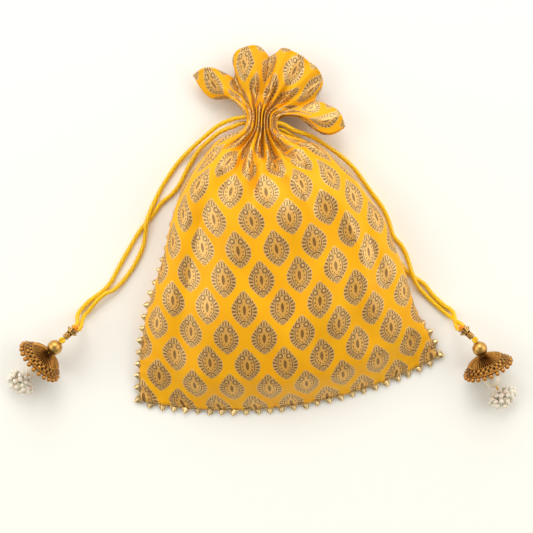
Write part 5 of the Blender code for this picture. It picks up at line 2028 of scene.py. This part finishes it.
@dataclass(frozen=True)
class Studio:
    """A soft white light tent over white paper, seen from straight above.

    Sizes and places are metres. The tent's strengths are wall_low on the picture's lower side,
    wall_rise more on the others, and top straight above.
    """

    look_at: tuple[float, float, float] = (-14.5 * MM, -23.0 * MM, 15.0 * MM)
    distance: float = 0.9
    lens: float = 90.0
    world: float = 0.72
    wall_low: float = 0.45
    wall_rise: float = 1.35
    top: float = 0.35
    paper_reach: float = 2.5
    paper_flat: float = 1.8
    paper_curl: float = 0.25
    boxes: tuple[SoftBox, ...] = (
        SoftBox("top_box", (-0.15, 1.0, 1.0), 0.8, 5.5, "#FFFFFF"),
        SoftBox("left_box", (-1.1, 0.1, 0.8), 0.7, 1.5, "#FFFDFA"),
        SoftBox("right_box", (1.1, 0.2, 0.7), 0.6, 1.5, "#FFFDFA"),
    )

    def light(self, box: SoftBox) -> None:
        """Hangs one soft box that faces the bag.

        Args:
            box: its name, place, side, power and colour.
        """
        data = bpy.data.lights.new(box.name, "AREA")
        data.shape, data.size, data.energy = "SQUARE", box.side, box.power
        data.color = colour(box.tint)[:3]
        lamp = bpy.data.objects.new(box.name, data)
        lamp.location = box.place
        toward = Vector(self.look_at) - Vector(box.place)
        lamp.rotation_euler = toward.to_track_quat("-Z", "Y").to_euler()
        bpy.context.scene.collection.objects.link(lamp)
        lamp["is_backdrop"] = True

    def paper(self) -> None:
        """Lays the paper: one wide sheet whose far edges curl up a little, out of the picture."""
        x = np.linspace(-self.paper_reach, self.paper_reach, 41)
        grid = np.stack(np.meshgrid(x, x, indexing="ij"), -1)
        far = np.linalg.norm(grid, axis=-1)
        z = self.paper_curl * np.clip(far - self.paper_flat, 0, None) ** 2
        points = np.concatenate([grid, z[..., None]], -1).reshape(-1, 3)
        sheet = Surface(points, grid_faces(len(x), len(x))[:, ::-1])
        sheet.build("paper", PaperSweep().material("white_paper"))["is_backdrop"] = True

    def sky(self) -> None:
        """Lights the scene from bright walls, dim straight above and on the picture's lower side."""
        world = bpy.data.worlds.new("tent")
        bpy.context.scene.world = world
        world.use_nodes = True
        tree = world.node_tree
        tree.nodes.clear()
        place = next(socket for socket in add(tree, "TexCoord").node.outputs if socket.name == "Generated")
        split = tree.nodes.new("ShaderNodeSeparateXYZ")
        tree.links.new(place, split.inputs[0])
        strengths = f"""
            from_edge = SUBTRACT z 0.79
            high = DIVIDE from_edge 0.16
            high_low = MAXIMUM high 0
            high_on = MINIMUM high_low 1
            from_foot = ADD y 0.62
            side = DIVIDE from_foot 0.35
            side_low = MAXIMUM side 0
            side_on = MINIMUM side_low 1
            wall = MULTIPLY_ADD side_on {self.wall_rise} {self.wall_low}
            to_top = SUBTRACT {self.top} wall
            level = MULTIPLY_ADD high_on to_top wall
            power = MULTIPLY level {self.world}
        """
        known = reckon(tree, strengths, {"y": split.outputs[1], "z": split.outputs[2]})
        shade = add(tree, "Background", {"Color": colour("#FFFDF8"), "Strength": known["power"]})
        out = tree.nodes.new("ShaderNodeOutputWorld")
        tree.links.new(shade, out.inputs[0])

    def camera(self) -> None:
        """Sets the camera straight above, with the picture's top toward +Y."""
        data = bpy.data.cameras.new("camera")
        data.lens, data.sensor_width = self.lens, 36.0
        made = bpy.data.objects.new("camera", data)
        made.location = Vector(self.look_at) + Vector((0, 0, self.distance))
        made.rotation_euler = (0, 0, 0)
        bpy.context.scene.collection.objects.link(made)
        bpy.context.scene.camera = made

    def build(self) -> None:
        """Sets up the whole studio."""
        self.paper()
        self.sky()
        for box in self.boxes:
            self.light(box)
        self.camera()


def main() -> None:
    """Builds the pouch in its studio."""
    scene = bpy.context.scene
    scene.view_settings.view_transform = "Standard"
    Pouch().build()
    Studio().build()
    read = {"at_load": SIZE_AT_LOAD, "at_end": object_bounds()}
    for key, (low, high) in read.items():
        log.info("%s: %s to %s", key, [round(x, 4) for x in low], [round(x, 4) for x in high])


if __name__ == "__main__":
    main()
